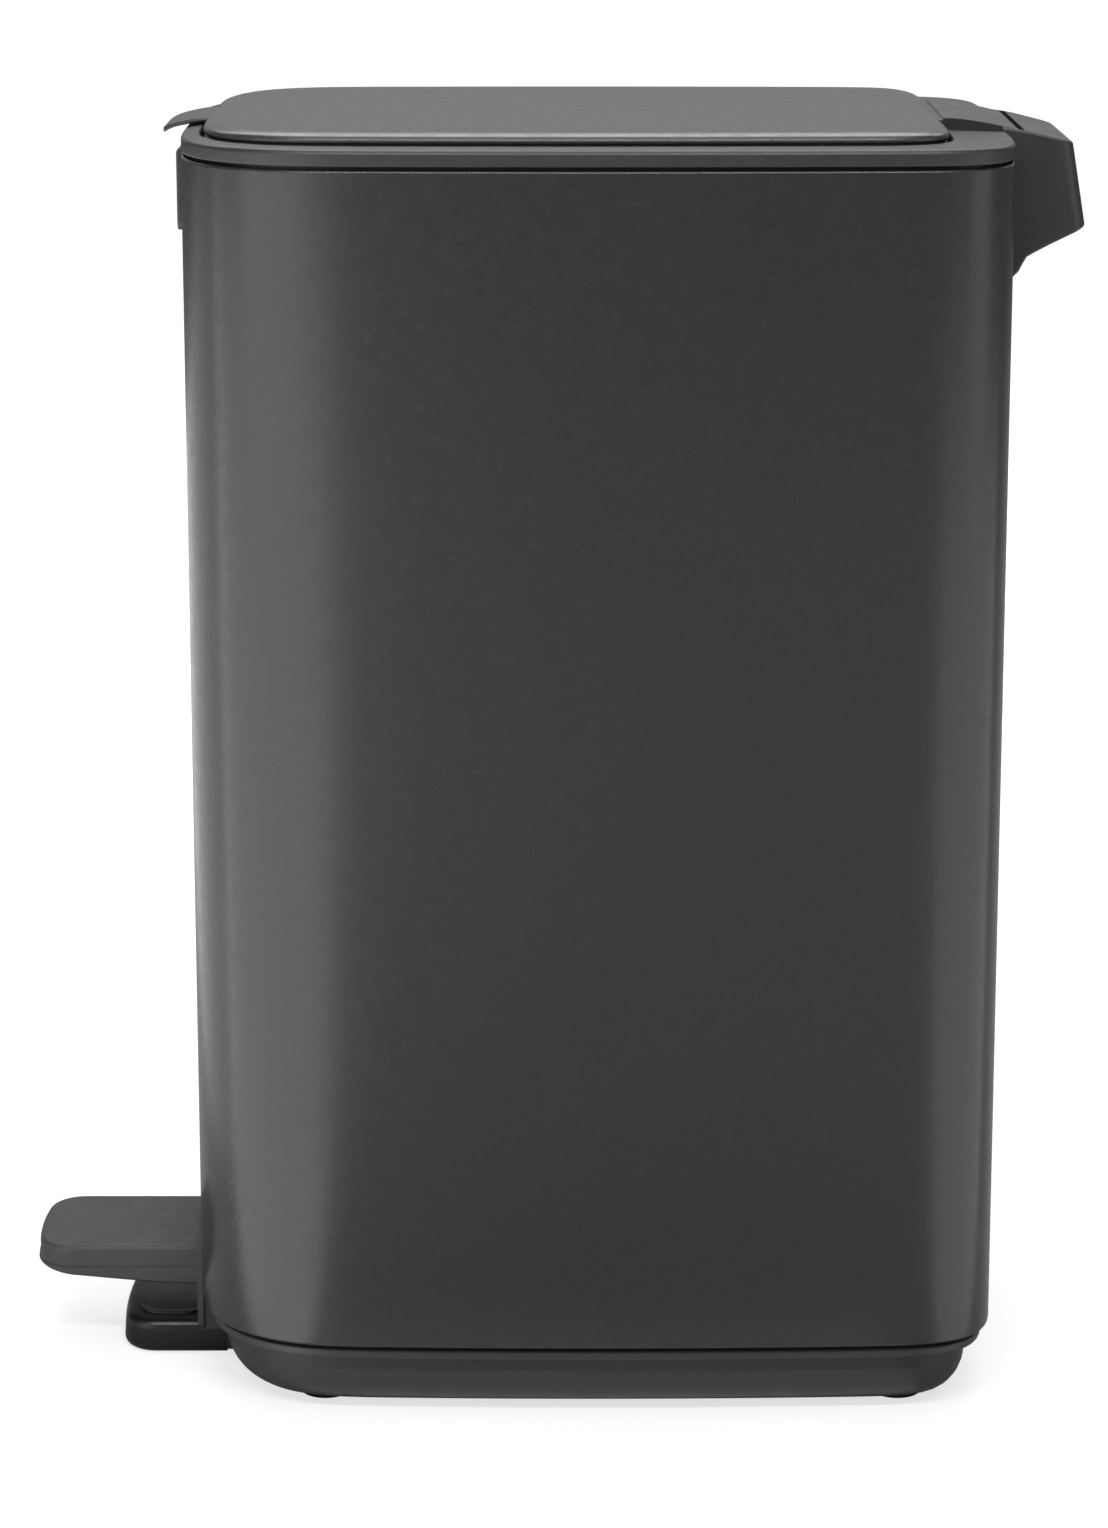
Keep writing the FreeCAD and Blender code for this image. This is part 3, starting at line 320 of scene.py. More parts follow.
class Paint:
    """A node material that is built up step by step."""

    def __init__(self, name):
        self.material = bpy.data.materials.new(name)
        self.material.use_nodes = True
        self.nodes = self.material.node_tree.nodes
        self.links = self.material.node_tree.links
        self.shader = self.nodes["Principled BSDF"]
        self.place = self.nodes.new("ShaderNodeTexCoord").outputs["Object"]

    def noise(self, scale, detail=2.0, stretch=None):
        """Grain with features about 1/scale metres across."""
        texture = self.nodes.new("ShaderNodeTexNoise")
        texture.inputs["Scale"].default_value = scale
        texture.inputs["Detail"].default_value = detail
        source = self.place
        if stretch:
            mapping = self.nodes.new("ShaderNodeMapping")
            mapping.inputs["Scale"].default_value = stretch
            self.links.new(source, mapping.inputs["Vector"])
            source = mapping.outputs["Vector"]
        self.links.new(source, texture.inputs["Vector"])
        return texture.outputs["Fac"]

    def pits(self, scale):
        """Round cells, for moulded grain."""
        texture = self.nodes.new("ShaderNodeTexVoronoi")
        texture.inputs["Scale"].default_value = scale
        self.links.new(self.place, texture.inputs["Vector"])
        return texture.outputs["Distance"]

    def spread(self, source, low, high, near=0.35, far=0.65):
        """The source's usual range mapped to low and high."""
        ramp = self.nodes.new("ShaderNodeMapRange")
        ramp.inputs["From Min"].default_value = near
        ramp.inputs["From Max"].default_value = far
        ramp.inputs["To Min"].default_value = low
        ramp.inputs["To Max"].default_value = high
        self.links.new(source, ramp.inputs["Value"])
        return ramp.outputs["Result"]

    def tint(self, source, dark, light):
        """Colour that runs from dark to light with the source."""
        ramp = self.nodes.new("ShaderNodeValToRGB")
        ramp.color_ramp.elements[0].position = 0.32
        ramp.color_ramp.elements[0].color = (*dark, 1)
        ramp.color_ramp.elements[1].position = 0.68
        ramp.color_ramp.elements[1].color = (*light, 1)
        self.links.new(source, ramp.inputs["Fac"])
        self.links.new(ramp.outputs["Color"], self.shader.inputs["Base Color"])

    def roughness(self, source):
        self.links.new(source, self.shader.inputs["Roughness"])

    def bump(self, *layers):
        """Bumps from (source, height in millimetres) pairs, one over the other."""
        normal = None
        for source, height in layers:
            node = self.nodes.new("ShaderNodeBump")
            node.inputs["Strength"].default_value = 1.0
            node.inputs["Distance"].default_value = height * MM
            self.links.new(source, node.inputs["Height"])
            if normal:
                self.links.new(normal, node.inputs["Normal"])
            normal = node.outputs["Normal"]
        self.links.new(normal, self.shader.inputs["Normal"])


def shades(colour, share):
    """Two colours a little darker and lighter than the given one."""
    return [tuple(channel * (1 + sign * share) for channel in colour) for sign in (-1, 1)]


def coated(name, colour, grain=1250.0, height=0.014, rough=(0.23, 0.28), specular=0.5, mottle=0.13):
    """Powder coat: a fine grain, a slow orange peel and a faint mottle."""
    paint = Paint(name)
    fine, slow = paint.noise(grain, 1.5), paint.noise(230.0, 2.0)
    paint.tint(fine, *shades(colour, mottle))
    paint.roughness(paint.spread(slow, *rough))
    paint.bump((slow, height * 0.35), (fine, height))
    paint.shader.inputs["Specular IOR Level"].default_value = specular
    return paint.material


def moulded(name, colour, grain=1500.0, height=0.020, rough=(0.46, 0.56), specular=0.45, mottle=0.12):
    """Moulded plastic: small pits from an etched tool and a slow change in sheen."""
    paint = Paint(name)
    pits, slow = paint.pits(grain), paint.noise(120.0, 2.0)
    paint.tint(paint.noise(grain, 1.0), *shades(colour, mottle))
    paint.roughness(paint.spread(slow, *rough))
    paint.bump((pits, height))
    paint.shader.inputs["Specular IOR Level"].default_value = specular
    return paint.material


def metal(name, colour, rough=(0.26, 0.40), stretch=(1.0, 1.0, 18.0)):
    """Drawn or plated steel with fine lines along it."""
    paint = Paint(name)
    lines = paint.noise(420.0, 3.0, stretch)
    paint.tint(paint.noise(90.0, 3.0), *shades(colour, 0.10))
    paint.roughness(paint.spread(lines, *rough))
    paint.bump((lines, 0.004))
    paint.shader.inputs["Metallic"].default_value = 1.0
    return paint.material


BODY_COAT = coated("body_coat", (0.021, 0.021, 0.022))
LID_COAT = coated("lid_coat", (0.033, 0.033, 0.034), grain=1000.0, height=0.024,
                  rough=(0.28, 0.34), mottle=0.20)
BADGE_FINISH = coated("badge_finish", (0.034, 0.034, 0.035), height=0.006, rough=(0.30, 0.36))
RING_PLASTIC = moulded("ring_plastic", (0.025, 0.025, 0.026), rough=(0.36, 0.44))
# The tray's plastic is a little lighter than its own near-black: the lift is painted light, standing in for
# the light the floor throws up onto the tray. The bail grip shares it.
BASE_PLASTIC_WITH_PAINTED_BOUNCE = moulded("base_plastic_painted_bounce", (0.030, 0.030, 0.031), rough=(0.36, 0.46))
PEDAL_PLASTIC = moulded("pedal_plastic", (0.040, 0.040, 0.041), grain=1100.0, height=0.028)
BUCKET_PLASTIC = moulded("bucket_plastic", (0.028, 0.028, 0.030), rough=(0.42, 0.52))
GLOSS_BLACK = coated("gloss_black", (0.006, 0.006, 0.006), height=0.002, rough=(0.30, 0.36), mottle=0.05)
RUBBER = moulded("rubber", (0.012, 0.012, 0.012), grain=900.0, rough=(0.70, 0.80), specular=0.3)
ZINC = metal("zinc", (0.52, 0.52, 0.54))
LEVER_STEEL = metal("lever_steel", (0.50, 0.50, 0.51), rough=(0.32, 0.46), stretch=(18.0, 1.0, 1.0))
NYLON = moulded("nylon", (0.60, 0.59, 0.55), rough=(0.35, 0.45), mottle=0.03)
CHANNEL_COAT = coated("channel_coat", (0.030, 0.030, 0.031), rough=(0.45, 0.55))


# ---------------------------------------------------------------- shared plans

BODY = Plan(83.5, -125.0, 125.0, 42.0, 18.0)
OPENING = Plan(75.75, -119.0, 106.3, 33.0, 9.5, -6.5)
LEDGE = Plan(70.5, -111.5, 88.5, 27.0, 8.0, -11.5)
LID = OPENING.inset(1.0)
RIM = Plan(73.4, -113.4, 92.0, 31.0, 9.0, -11.5)
BUCKET = Plan(69.5, -110.5, 87.5, 26.0, 9.0, -11.5)
BRIDGE_ROOM = reach("hinge_bridge")[1].x + 0.3    # half the width of the notches for the hinge bridge
ARCH_ROOM, ARCH_BACK = 27.9, -112    # half the width and the back of the notches for the pedal arch
ABOVE = 398                          # a height over the top ring, for tools that cut right through it


# ---------------------------------------------------------------- outer can

def make_body_shell():
    """The folded wall with eased edges, the pedal arch and the hinge well."""
    low, high = reach("body_shell")
    sheet, edge = 0.8, 0.8
    low_row, middle_row, high_row = 52.0, 200.0, 376.0
    profile = curl(edge, low.z + edge, edge, -90, 0, 4)
    profile += [(0.0, low_row), (0.0, middle_row), (0.0, high_row)]
    profile += curl(edge, high.z - edge, edge, 0, 90, 4)
    profile = [(sheet, low.z), *profile[1:-1], (sheet, high.z), (sheet, high_row), (sheet, low_row)]
    made = loft("can_wall", plan_rows(BODY, profile), ring=True)
    arch = box_tool("arch", (-ARCH_ROOM, ARCH_ROOM), (low.y - 2, ARCH_BACK), (20, 45.9))
    well = box_tool("well", (-BRIDGE_ROOM, BRIDGE_ROOM), (118, high.y + 2), (381.2, 395))
    return finish_piece(carve(made, arch, well), "bin", "coated_steel", BODY_COAT, "body_shell")


def make_base_pan():
    """The tray under the wall: round bottom edge, lip, and a groove below the wall."""
    low, high = reach("base_pan")
    inset, curve, thick = 7.3, 15.0, 2.5
    lip_low, lip_high, lip = 21.6, 24.6, 2.4
    groove_high, spigot, slot_low = 26.9, 1.05, 9.5
    outside = curl(inset + curve, low.z + curve, curve, -90, 0, 12)
    outside += curl(inset - 1.0, lip_low - 1.0, 1.0, 180, 90, 3)
    outside += curl(lip + 0.7, lip_low + 0.7, 0.7, -90, 0, 3)
    outside += curl(lip + 0.9, lip_high - 0.9, 0.9, 0, 90, 4)
    outside += [(lip + 1.6, lip_high), (lip + 1.6, groove_high), (spigot, groove_high), (spigot, high.z)]
    inside = [(3.0, high.z), (inset + thick, lip_high - 2)]
    inside += curl(inset + curve, 4.0 + curve - thick, curve - thick, 0, -90, 8)
    made = loft("base_tray", plan_rows(BODY, outside + inside))
    front = box_tool("front", (-25.5, 25.5), (BODY.front + inset, -100), (low.z, slot_low))
    slot = box_tool("slot", (-ARCH_ROOM, ARCH_ROOM), (BODY.front - 1, ARCH_BACK), (slot_low, high.z + 1))
    well = [(8.7, 0), (8.7, 3.5)]
    wells = [lathe(f"well{i}", (x, y, -1), "z", well) for i, (x, y) in enumerate(foot_places())]
    carve(merge(made, front), slot, *wells)
    return finish_piece(made, "bin", "moulded_plastic", BASE_PLASTIC_WITH_PAINTED_BOUNCE, "base_pan")


def foot_places():
    """The middles of the four rubber feet, from the box round them."""
    low, high = reach("base_feet")
    radius = 8.5
    return [(x, y) for x in (low.x + radius, high.x - radius) for y in (low.y + radius, high.y - radius)]


def make_base_feet():
    """Rubber feet with a moulded groove and an eased rim."""
    high = reach("base_feet")[1].z
    profile = [(3.0, 0.6), (3.4, 0.2), (3.9, 0.0), (7.3, 0.0), (8.1, 0.3), (8.5, 1.0), (8.5, high)]
    for i, (x, y) in enumerate(foot_places()):
        foot = lathe(f"rubber_foot_{i}", (x, y, 0), "z", profile)
        finish_piece(foot, "bin", "soft_rubber", RUBBER, "base_feet")


def make_top_ring():
    """The ring round the lid: soft outer edge, a top that falls outwards, and the bucket's ledge."""
    low, high = reach("top_ring")
    under, side, groove = 390.9, 0.1, 3.6
    outer = [(1.05, low.z), (1.05, 388.4), (groove, 388.8), (groove, under - 0.1)]
    outer += curl(side + 0.5, under + 0.5, 0.5, -90, 0, 3)
    outer += curl(side + 1.5, high.z - 2.1, 1.5, 0, 72, 5)
    rows = plan_rows(BODY, outer)
    rows += plan_rows(OPENING, [(-1.6, high.z - 0.12)])
    rows += plan_rows(OPENING, curl(-0.7, high.z - 0.7, 0.7, 90, 180, 4))
    rows += plan_rows(OPENING, [(0.0, 386.0)])
    rows += plan_rows(LEDGE, [(-1.0, 385.0)])
    rows += plan_rows(LEDGE, curl(-0.6, 384.4, 0.6, 90, 180, 3))
    rows += plan_rows(LEDGE, [(0.0, low.z)])
    made = loft("top_ring_moulding", rows, ring=True)
    well = box_tool("well", (-BRIDGE_ROOM, BRIDGE_ROOM), (104, 128), (381.5, ABOVE))
    shaft = box_tool("shaft", (-11, 11), (86, 116), (low.z - 1, ABOVE))
    return finish_piece(carve(made, well, shaft), "bin", "moulded_plastic", RING_PLASTIC, "top_ring")


def make_rear_grip():
    """The hood behind the hinge, hollow and open underneath, with a cheek on each side of the bridge."""
    low, high = reach("rear_grip")
    back, front, shelf, cheek_front = high.y, 130.3, 380.0, 123.2
    half, wall, wide, inner = high.x, 2.4, 4.5, BRIDGE_ROOM + 0.1
    root, lip, cheek = 124.95, 366.6, 393.0
    profile = [(root, low.z), (127.6, low.z + 0.9), (129.3, low.z + 2.6), (130.4, low.z + 4.8),
               (131.6, low.z + 7.0), (133.6, 358.6), (138.1, 361.0), (back, lip), (back - 4.3, 392.3),
               (front + 3, 395.3), (front, 395.9), (cheek_front, 396.9),
               (cheek_front, cheek), (root, cheek)]
    hood = slab("rear_grip_hood", profile, half, 0)
    corner = place(0, back - 6, 0).y

    def upright_at_the_back(edge):
        first, second = edge.verts[0].co, edge.verts[1].co
        return first.y > corner and second.y > corner and abs(first.z - second.z) > 20 * MM

    hood = ease(hood, wide, 8, chosen=upright_at_the_back)
    hood = ease(hood, 0.8, 3, least=36.0)
    gap = box_tool("gap", (-inner, inner), (cheek_front - 1, front), (shelf, 400))
    inside = [(124, 340), (back - wall, 340), (back - wall, lip), (back - 6.8, 390.2),
              (front + wall, 392.7), (front + wall, shelf - wall), (124, shelf - wall)]
    hollow = ease(slab("hollow", inside, half - wall, 0), 2.5, 4)
    carve(hood, gap, hollow)
    return finish_piece(hood, "bin", "moulded_plastic", RING_PLASTIC, "rear_grip")


def make_badge_plate():
    """A blank strap down the front that turns in over the wall's edge."""
    low, high = reach("badge_plate")
    face, back, half, turn = low.y, -124.6, high.x, 1.6
    catch = high.z - 1.0
    profile = [(back, low.z), (face, low.z)]
    profile += [(y, z) for y, z in sweep((face + turn, high.z - turn), turn, math.pi, math.pi / 2, 6)]
    profile += [(face + turn, high.z), (back + 1.6, high.z), (back + 1.6, catch), (back, catch)]
    strap = slab("badge_strap", profile, half, 0)
    foot = place(0, 0, low.z + 0.5).z

    def upright_at_the_foot(edge):
        first, second = edge.verts[0].co, edge.verts[1].co
        return max(first.z, second.z) < foot and abs(first.x - second.x) < MM

    strap = ease(strap, 3.0, 6, chosen=upright_at_the_foot)
    strap = ease(strap, 0.45, 3, least=40.0)
    return finish_piece(strap, "bin", "badge_metal", BADGE_FINISH, "badge_plate")


def arch_outline(half, high, low, corner, foot_corner, inner, inner_high):
    """An arch: its outer edge up, over and down, and its inner edge back."""
    outer = round_rectangle((-half, low), (half, high), (foot_corner, foot_corner, corner, corner))
    split = next(i for i, (x, z) in enumerate(outer) if x > 0)
    outer = outer[split:] + outer[:split]
    inside = round_rectangle((-inner, low - 1), (inner, inner_high), (0, 0, corner - 2.5, corner - 2.5))
    split = next(i for i, (x, z) in enumerate(inside) if x > 0)
    inside = inside[split:] + inside[:split]
    inside = [(x, max(z, low)) for x, z in reversed(inside)]
    return outer + inside


def make_pedal_bezel():
    """The arch round the pedal: a thin flange with a fine raised edge, and a sleeve."""
    low, high = reach("pedal_bezel")
    inner, inner_high = 26.5, high.z - 2.6
    flange_back, sleeve_front = -124.6, -125.4
    edge = arch_outline(high.x, high.z, low.z, 6.0, 2.2, inner, inner_high)
    flange = plate("pedal_arch", edge, low.y, flange_back, 0.5, 3)
    edge = arch_outline(27.8, high.z - 1.2, low.z, 5.0, 0, inner, inner_high)
    sleeve = plate("pedal_arch_sleeve", edge, sleeve_front, high.y, 0)
    finish_piece(sleeve, "bin", "moulded_plastic", PEDAL_PLASTIC)
    return finish_piece(flange, "bin", "moulded_plastic", PEDAL_PLASTIC, "pedal_bezel")


def tongue(half, tip, root, corner, bow, inset, steps=10):
    """A plan with a bowed front and round front corners, from the root on the left and round."""
    half, tip, corner = half - inset, tip + inset, max(corner - inset, 0.5)
    centre = (0.0, tip + bow)
    reach_in = bow - corner
    across = half - corner
    up = centre[1] - math.sqrt(reach_in ** 2 - across ** 2)
    turn = angle(centre, (across, up))
    right = sweep(centre, bow, -math.pi / 2, turn, steps)
    right += sweep((across, up), corner, turn, 0.0, steps)
    right += [(half, up), (half, (up + root) / 2), (half, root)]
    return [(-x, y) for x, y in reversed(right[1:])] + right


def tongue_rows(sizes, profile):
    """Rows of a tongue for (inset, height) pairs, where height is a number or a rule of y."""
    rows = []
    for inset, height in profile:
        rule = height if callable(height) else (lambda y, level=height: level)
        rows.append([place(x, y, rule(y)) for x, y in tongue(*sizes, inset)])
    return rows


def make_front_foot():
    """The gloss block in front of the tray, which carries the foot pad."""
    low, high = reach("front_foot")
    corner, bow, edge = 11.0, 160.0, 2.6
    sizes = (high.x, low.y, high.y, corner, bow)
    profile = curl(edge, edge, edge, -90, 0, 6)
    profile += [(0.35, high.z - edge)]
    profile += curl(2.7, high.z - 2.2, 2.2, 0, 90, 6)
    made = loft("front_foot_block", tongue_rows(sizes, profile))
    return finish_piece(made, "bin", "gloss_plastic", GLOSS_BLACK, "front_foot")


def make_foot_pad():
    """A raised oval with a rolled rim and a shallow dish."""
    low, high = reach("foot_pad")
    base, top, corner = low.z - 0.3, high.z - 0.3, 8.5
    profile = [(0, base), (0, top - 0.35), (0.15, top - 0.1), (0.5, top), (1.1, top - 0.05),
               (1.7, top - 0.3), (3.2, top - 0.4)]
    rows = []
    for inset, z in profile:
        outline = round_rectangle((low.x + inset, low.y + inset), (high.x - inset, high.y - inset),
                                  [max(corner - inset, 1)] * 4, 8)
        rows.append([place(x, y, z) for x, y in outline])
    return finish_piece(loft("front_foot_pad", rows), "bin", "soft_rubber", GLOSS_BLACK, "foot_pad")


# ---------------------------------------------------------------- lid

def make_lid_panel():
    """The pressed cover with a round edge over a narrower neck, notched for the bridge and the tab."""
    low, high = reach("lid_panel")
    curve, roll, neck, sheet, crown = 1.7, 0.5, 1.0, 0.8, 1.1
    level, groove = high.z - crown - curve, 394.6
    outside = [(0.35, low.z), (0.0, low.z + 0.4), (0.0, groove), (neck, groove + 1.0)]
    outside += curl(roll, level, roll, -90, -15, 4) + curl(curve, level, curve, 0, 72, 7)
    outside += [(2.6, high.z - 0.72), (4.4, high.z - 0.34), (7.0, high.z - 0.08), (10.0, high.z)]
    inside = curl(curve + neck, level, curve - sheet, 90, 0, 6)
    inside += [(neck + sheet, groove + 1.0), (sheet, groove - 0.2), (sheet, low.z + 0.4)]
    outer = loft("lid_cover", plan_rows(LID, outside))
    inner = loft("inner", plan_rows(LID, [(sheet, low.z - 1)] + list(reversed(inside))))
    rear = box_tool("rear", (-BRIDGE_ROOM, BRIDGE_ROOM), (103, 107), (low.z - 1, 399.0))
    front = box_tool("front", (-16.9, 16.9), (-120, -115), (low.z - 1, 398.9))
    return finish_piece(carve(outer, inner, rear, front), "lid", "coated_steel", LID_COAT, "lid_panel")


def tab_section(y, half, low, high, ease_by):
    """A rounded slot-shaped section across X at one place along Y."""
    corner = min((high - low) / 2 - 0.01, ease_by)
    outline = round_rectangle((-half, low), (half, high), [corner] * 4, 3)
    return [place(x, y, z) for x, z in outline]


def make_lid_liner():
    """The moulded plate under the cover, with a rim below, and the swept finger tab."""
    under, top = 396.7, 399.0
    plan = LID.inset(1.3)
    plan.back = 93.0
    profile = [(3.0, under + 0.9), (2.2, under + 0.9), (1.9, under + 0.3), (1.5, under), (0.5, under)]
    profile += [(0.0, under + 0.5)] + curl(1.2, top - 1.2, 1.2, 0, 90, 4)
    made = loft("lid_liner_plate", plan_rows(plan, profile))
    tip = reach("lid_liner")[0].y
    stations = [(-112.0, 0, 396.8, 398.6), (-118.0, 0, 396.9, 398.6), (-120.5, 0, 396.9, 398.4),
                (-123.5, 0.2, 396.5, 397.9), (-126.3, 0.6, 395.9, 397.3), (-128.4, 1.1, 395.3, 396.7),
                (-129.9, 1.8, 394.6, 396.1), (-130.9, 2.7, 393.9, 395.6), (tip, 4.0, 393.7, 395.1)]
    half, edge = 16.5, 0.8
    rows = [tab_section(y, half - narrow, z0, z1, edge) for y, narrow, z0, z1 in stations]
    tab = loft("finger_tab", rows)
    finish_piece(tab, "lid", "moulded_plastic", RING_PLASTIC, degrees=50.0)
    return finish_piece(made, "lid", "moulded_plastic", RING_PLASTIC, "lid_liner")


def make_hinge_bridge():
    """The bridge from the lid's back edge to the barrel round the hinge pin."""
    profile = [(94, 396.2), (94, 399.05), (105.4, 399.05), (105.6, 399.75), (109, 399.6), (112, 399.3),
               (116, 398.7), (120, 398.0), (124, 397.1), (128.4, 396.1), (129.1, 395.4), (129.2, 394.2),
               (128.9, 392.4), (128.0, 391.0), (126.0, 389.9), (121.0, 387.3), (118.2, 388.3),
               (116.8, 391.0), (106.8, 394.6), (104.5, 396.2)]
    bridge = slab("hinge_bridge_arm", profile, reach("hinge_bridge")[1].x, 0.7, 3, 40.0)
    return finish_piece(bridge, "lid", "moulded_plastic", RING_PLASTIC, "hinge_bridge", degrees=24.0)


# ---------------------------------------------------------------- pedal

PEDAL_CORNER, PEDAL_BOW, PEDAL_PART = 12.0, 110.0, 28.6


def make_pedal_top_shell():
    """The upper casing: a soft top edge and a fine rim at the parting line."""
    low, high = reach("pedal_top_shell")
    sizes = (high.x, low.y, high.y, PEDAL_CORNER, PEDAL_BOW)
    profile = [(0.8, PEDAL_PART - 0.3), (0.5, PEDAL_PART + 0.05)]
    profile += [(0.55, high.z - 2.4)] + curl(2.4, high.z - 1.9, 1.9, 8, 90, 6)
    profile += [(4.0, high.z)]
    made = loft("pedal_upper_casing", tongue_rows(sizes, profile))
    return finish_piece(made, "pedal", "moulded_plastic", PEDAL_PLASTIC, "pedal_top_shell")


def make_pedal_bottom_shell():
    """The lower casing, which thins towards the tip in one curve."""
    low, high = reach("pedal_bottom_shell")
    sizes = (high.x, low.y, high.y, PEDAL_CORNER, PEDAL_BOW)
    length = high.y - low.y
    tip_depth = 1.0
    deep = PEDAL_PART - low.z - tip_depth

    def under(lift):
        """The underside's height along Y, raised by lift."""
        def height(y):
            to_tip = 1 - min((y - low.y) / length, 1)
            return PEDAL_PART - lift - deep * (1 - to_tip ** 1.6) ** 0.8
        return height

    profile = [(2.2, under(1.0)), (1.1, under(0.85)), (0.35, under(0.45)), (0.0, under(0.0)),
               (0.0, PEDAL_PART - 0.3), (0.12, PEDAL_PART - 0.08), (0.6, PEDAL_PART + 0.08)]
    made = loft("pedal_lower_casing", tongue_rows(sizes, profile))
    return finish_piece(made, "pedal", "moulded_plastic", PEDAL_PLASTIC, "pedal_bottom_shell")


# ---------------------------------------------------------------- bucket

def make_inner_bucket():
    """The moulded bucket: rolled rim, straight walls and a rounded floor."""
    low, high = reach("inner_bucket")
    wall, curve, seat = 1.6, 9.0, 385.0
    rows = plan_rows(BUCKET, curl(curve, low.z + curve, curve, -90, 0, 8))
    rows += plan_rows(BUCKET, [(0.0, seat - 1.0), (0.2, seat + 0.05)])
    rows += plan_rows(RIM, [(0.5, seat + 0.05)] + curl(0.8, high.z - 0.8, 0.8, -20, 90, 4))
    rows += plan_rows(BUCKET, curl(wall - 1.0, high.z - 1.0, 1.0, 90, 180, 4))
    rows += plan_rows(BUCKET, curl(curve, low.z + curve, curve - wall, 0, -90, 8))
    made = loft("bucket_tub", rows)
    return finish_piece(made, "bucket", "bucket_plastic", BUCKET_PLASTIC, "inner_bucket")


def make_bail_grip():
    """The grip on the bail: a waisted tube with raised bands."""
    low, high = reach("bail_grip")
    centre_y, centre_z = (low.y + high.y) / 2, (low.z + high.z) / 2
    length, radius = high.x - low.x, (high.z - low.z) / 2
    profile = [(2.0, 0.0), (3.9, 0.0), (4.6, 0.5), (radius, 1.4), (radius, 3.0)]
    bands = 9
    pitch = (length - 12) / bands
    valley, crest = radius - 0.6, radius - 0.15
    for band in range(bands):
        start = 6 + band * pitch
        profile += [(valley, start - 1.2), (valley, start + 0.2), (crest, start + 0.8),
                    (crest, start + pitch - 2.0)]
    profile += [(valley, length - 5.4), (radius, length - 3.0), (radius, length - 1.4),
                (4.6, length - 0.5), (3.9, length), (2.0, length)]
    made = lathe("bail_grip_tube", (low.x, centre_y, centre_z), "x", profile, 32)
    return finish_piece(made, "bail", "moulded_plastic", BASE_PLASTIC_WITH_PAINTED_BOUNCE, "bail_grip")


# ---------------------------------------------------------------- CAD nodes that stay

KEPT = {
    "hinge_pin": ZINC, "lid_buffers": RUBBER, "grip_screws": ZINC, "foot_screws": ZINC,
    "lid_screws": ZINC, "crank_bracket": LEVER_STEEL, "crank_pin": ZINC, "push_rod": ZINC,
    "rod_head": NYLON, "rod_foot": NYLON, "rod_channel": CHANNEL_COAT, "rod_guides": NYLON,
    "pedal_lever": LEVER_STEEL, "lever_bush": NYLON, "lever_pin": ZINC, "pivot_blocks": NYLON,
    "pivot_screws": ZINC, "pedal_axle": ZINC, "axle_clips": ZINC, "pedal_screws": ZINC,
    "bucket_bail": ZINC,
}


def dress_kept_nodes():
    """Materials and eased edges for the CAD nodes that show as they are."""
    for name, material in KEPT.items():
        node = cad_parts[name]
        node.data.materials.clear()
        node.data.materials.append(material)
        bevel = node.modifiers.new("eased_edges", "BEVEL")
        bevel.width = 0.25 * MM
        bevel.segments = 2
        bevel.limit_method = "ANGLE"
        bevel.angle_limit = math.radians(40)


# ---------------------------------------------------------------- studio

def panel_light(name, spot, width, height, power):
    """A rectangular light that the camera doesn't see."""
    data = bpy.data.lights.new(name, "AREA")
    data.shape = "RECTANGLE"
    data.size, data.size_y = width, height
    data.energy = power
    lamp = bpy.data.objects.new(name, data)
    lamp.location = spot
    lamp.visible_camera = False
    bpy.context.scene.collection.objects.link(lamp)
    return lamp


def area_light(name, centre, target, width, height, power):
    """A panel that faces a target."""
    lamp = panel_light(name, Vector(centre), width, height, power)
    lamp.rotation_mode = "QUATERNION"
    lamp.rotation_quaternion = (Vector(target) - Vector(centre)).to_track_quat("-Z", "Y")


def around(azimuth, distance, height):
    """A point round the can: azimuth 0 is towards the camera's side and 90 is behind the hinge."""
    turn = math.radians(azimuth)
    return distance * math.cos(turn), distance * math.sin(turn), height


def floor_panel(name, corner, azimuth, length, width, power):
    """A panel that lies near the floor and faces up, with one edge running out from the corner.

    It lies to the left of that edge if the azimuth is positive, and to its right if negative.
    """
    turn = math.radians(azimuth)
    out = Vector((math.cos(turn), math.sin(turn), 0))
    aside = Vector((-out.y, out.x, 0)) * math.copysign(1, azimuth)
    spot = Vector(corner) + out * length / 2 + aside * width / 2
    lamp = panel_light(name, spot, length, width, power)
    lamp.rotation_euler = (math.pi, 0, turn)


def make_lights():
    """Floor panels for the corners and the side, two raised panels, a rim, a top and two far ones."""
    middle, high_middle, upper = (0.0, 0.015, 0.20), (0.0, 0.0, 0.40), (0.0, 0.0, 0.35)
    along = -0.001    # degrees: straight out along +X, and to the right of that edge
    floor_panel("low_front", (0.10, -0.090, 0.004), -9.5, 3.4, 3.2, 66.0)
    floor_panel("low_ahead", (-1.60, -0.30, 0.003), along, 1.68, 2.9, 13.0)
    floor_panel("low_rear", (0.10, 0.142, 0.004), 23, 1.8, 1.6, 9.5)
    floor_panel("low_side", (0.068, 0.118, 0.002), along, 0.09, 0.23, 0.02)
    area_light("high_front", around(-42, 2.6, 0.95), middle, 2.3, 1.9, 18.0)
    area_light("high_rear", around(62, 2.2, 0.80), middle, 1.3, 1.5, 6.0)
    area_light("rim", (1.30, 0.0, 1.55), upper, 1.6, 0.12, 21.0)
    area_light("top", (0.0, 0.0, 1.75), upper, 2.4, 1.2, 15.0)
    area_light("far", (-1.9, 0.0, 0.82), high_middle, 3.0, 0.86, 2.2)
    area_light("far_high", (-1.45, 0.0, 1.62), high_middle, 3.0, 0.45, 21.0)


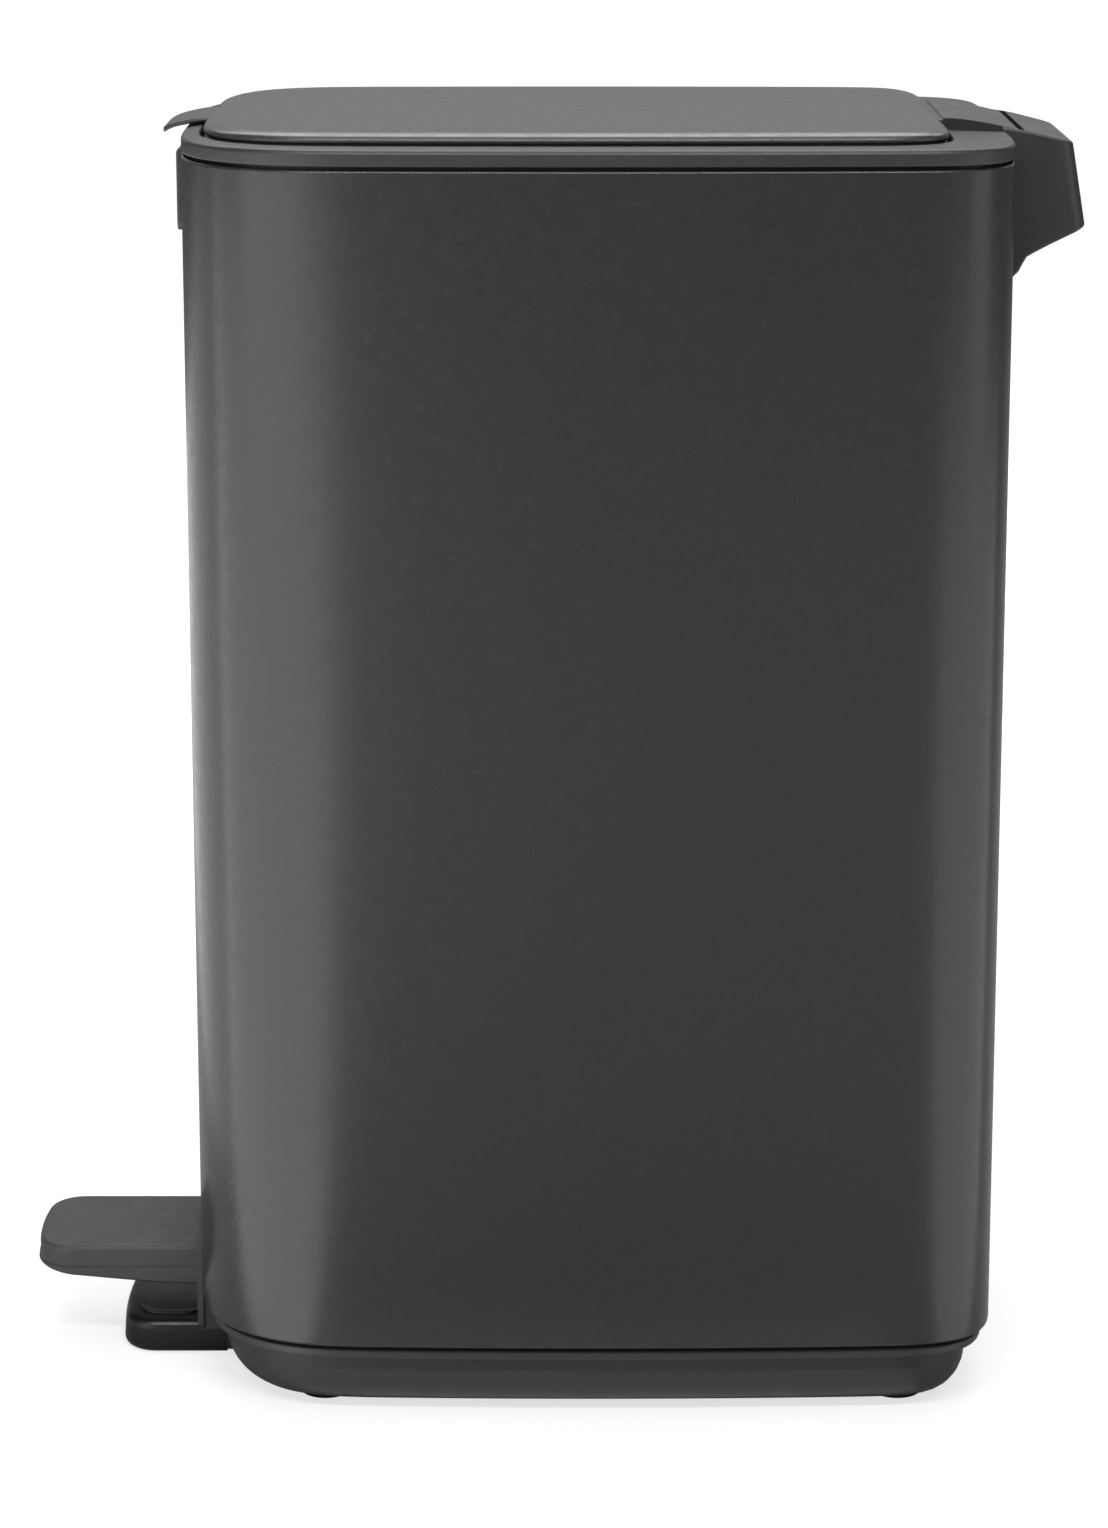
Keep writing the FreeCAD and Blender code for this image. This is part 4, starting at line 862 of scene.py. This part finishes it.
def make_world():
    """A white background, and a greyer surround for light and reflections."""
    world = bpy.data.worlds.new("studio")
    world.use_nodes = True
    nodes, links = world.node_tree.nodes, world.node_tree.links
    surround = nodes["Background"]
    surround.inputs["Color"].default_value = (1, 1, 1, 1)
    surround.inputs["Strength"].default_value = 0.13
    backdrop = nodes.new("ShaderNodeBackground")
    backdrop.inputs["Strength"].default_value = 1.0
    backdrop.inputs["Color"].default_value = (1, 1, 1, 1)
    path = nodes.new("ShaderNodeLightPath")
    mix = nodes.new("ShaderNodeMixShader")
    links.new(path.outputs["Is Camera Ray"], mix.inputs["Fac"])
    links.new(surround.outputs["Background"], mix.inputs[1])
    links.new(backdrop.outputs["Background"], mix.inputs[2])
    links.new(mix.outputs["Shader"], nodes["World Output"].inputs["Surface"])
    bpy.context.scene.world = world


def make_floor():
    """A pale floor with a little glow of its own, so that it meets the background."""
    half, level = 12.0, -0.0002
    corners = [(-half, -half, level), (half, -half, level), (half, half, level), (-half, half, level)]
    floor = new_object("floor", corners, [(0, 1, 2, 3)])
    paint = Paint("floor_paint")
    paint.tint(paint.noise(3.0, 2.0), (0.40, 0.40, 0.40), (0.42, 0.42, 0.42))
    paint.shader.inputs["Roughness"].default_value = 0.9
    paint.shader.inputs["Specular IOR Level"].default_value = 0.1
    paint.shader.inputs["Emission Color"].default_value = (1, 1, 1, 1)
    reach_out = paint.nodes.new("ShaderNodeVectorMath")
    reach_out.operation = "LENGTH"
    paint.links.new(paint.place, reach_out.inputs[0])
    path = paint.nodes.new("ShaderNodeLightPath")
    glow = paint.nodes.new("ShaderNodeMath")
    glow.operation = "MULTIPLY"
    paint.links.new(path.outputs["Is Camera Ray"], glow.inputs[0])
    paint.links.new(paint.spread(reach_out.outputs["Value"], 0.70, 0.97, 0.3, 1.2), glow.inputs[1])
    paint.links.new(glow.outputs["Value"], paint.shader.inputs["Emission Strength"])
    floor.data.materials.append(paint.material)


def make_camera():
    """The side view, from a little above the lid."""
    data = bpy.data.cameras.new("camera")
    data.lens = 94.5
    data.sensor_width = 36.0
    data.shift_y = -0.145
    camera = bpy.data.objects.new("camera", data)
    tilt = math.radians(11.95)
    camera.location = (1.24, 0.0032, 0.525)
    camera.rotation_mode = "QUATERNION"
    camera.rotation_quaternion = Vector((-math.cos(tilt), 0, -math.sin(tilt))).to_track_quat("-Z", "Y")
    bpy.context.scene.collection.objects.link(camera)
    bpy.context.scene.camera = camera


MAKERS = (
    make_body_shell, make_base_pan, make_base_feet, make_top_ring, make_rear_grip, make_badge_plate,
    make_pedal_bezel, make_front_foot, make_foot_pad, make_lid_panel, make_lid_liner, make_hinge_bridge,
    make_pedal_top_shell, make_pedal_bottom_shell, make_inner_bucket, make_bail_grip,
)

make_camera()
for maker in MAKERS:
    maker()
dress_kept_nodes()
make_floor()
make_lights()
make_world()
bpy.context.scene.view_settings.view_transform = "Standard"
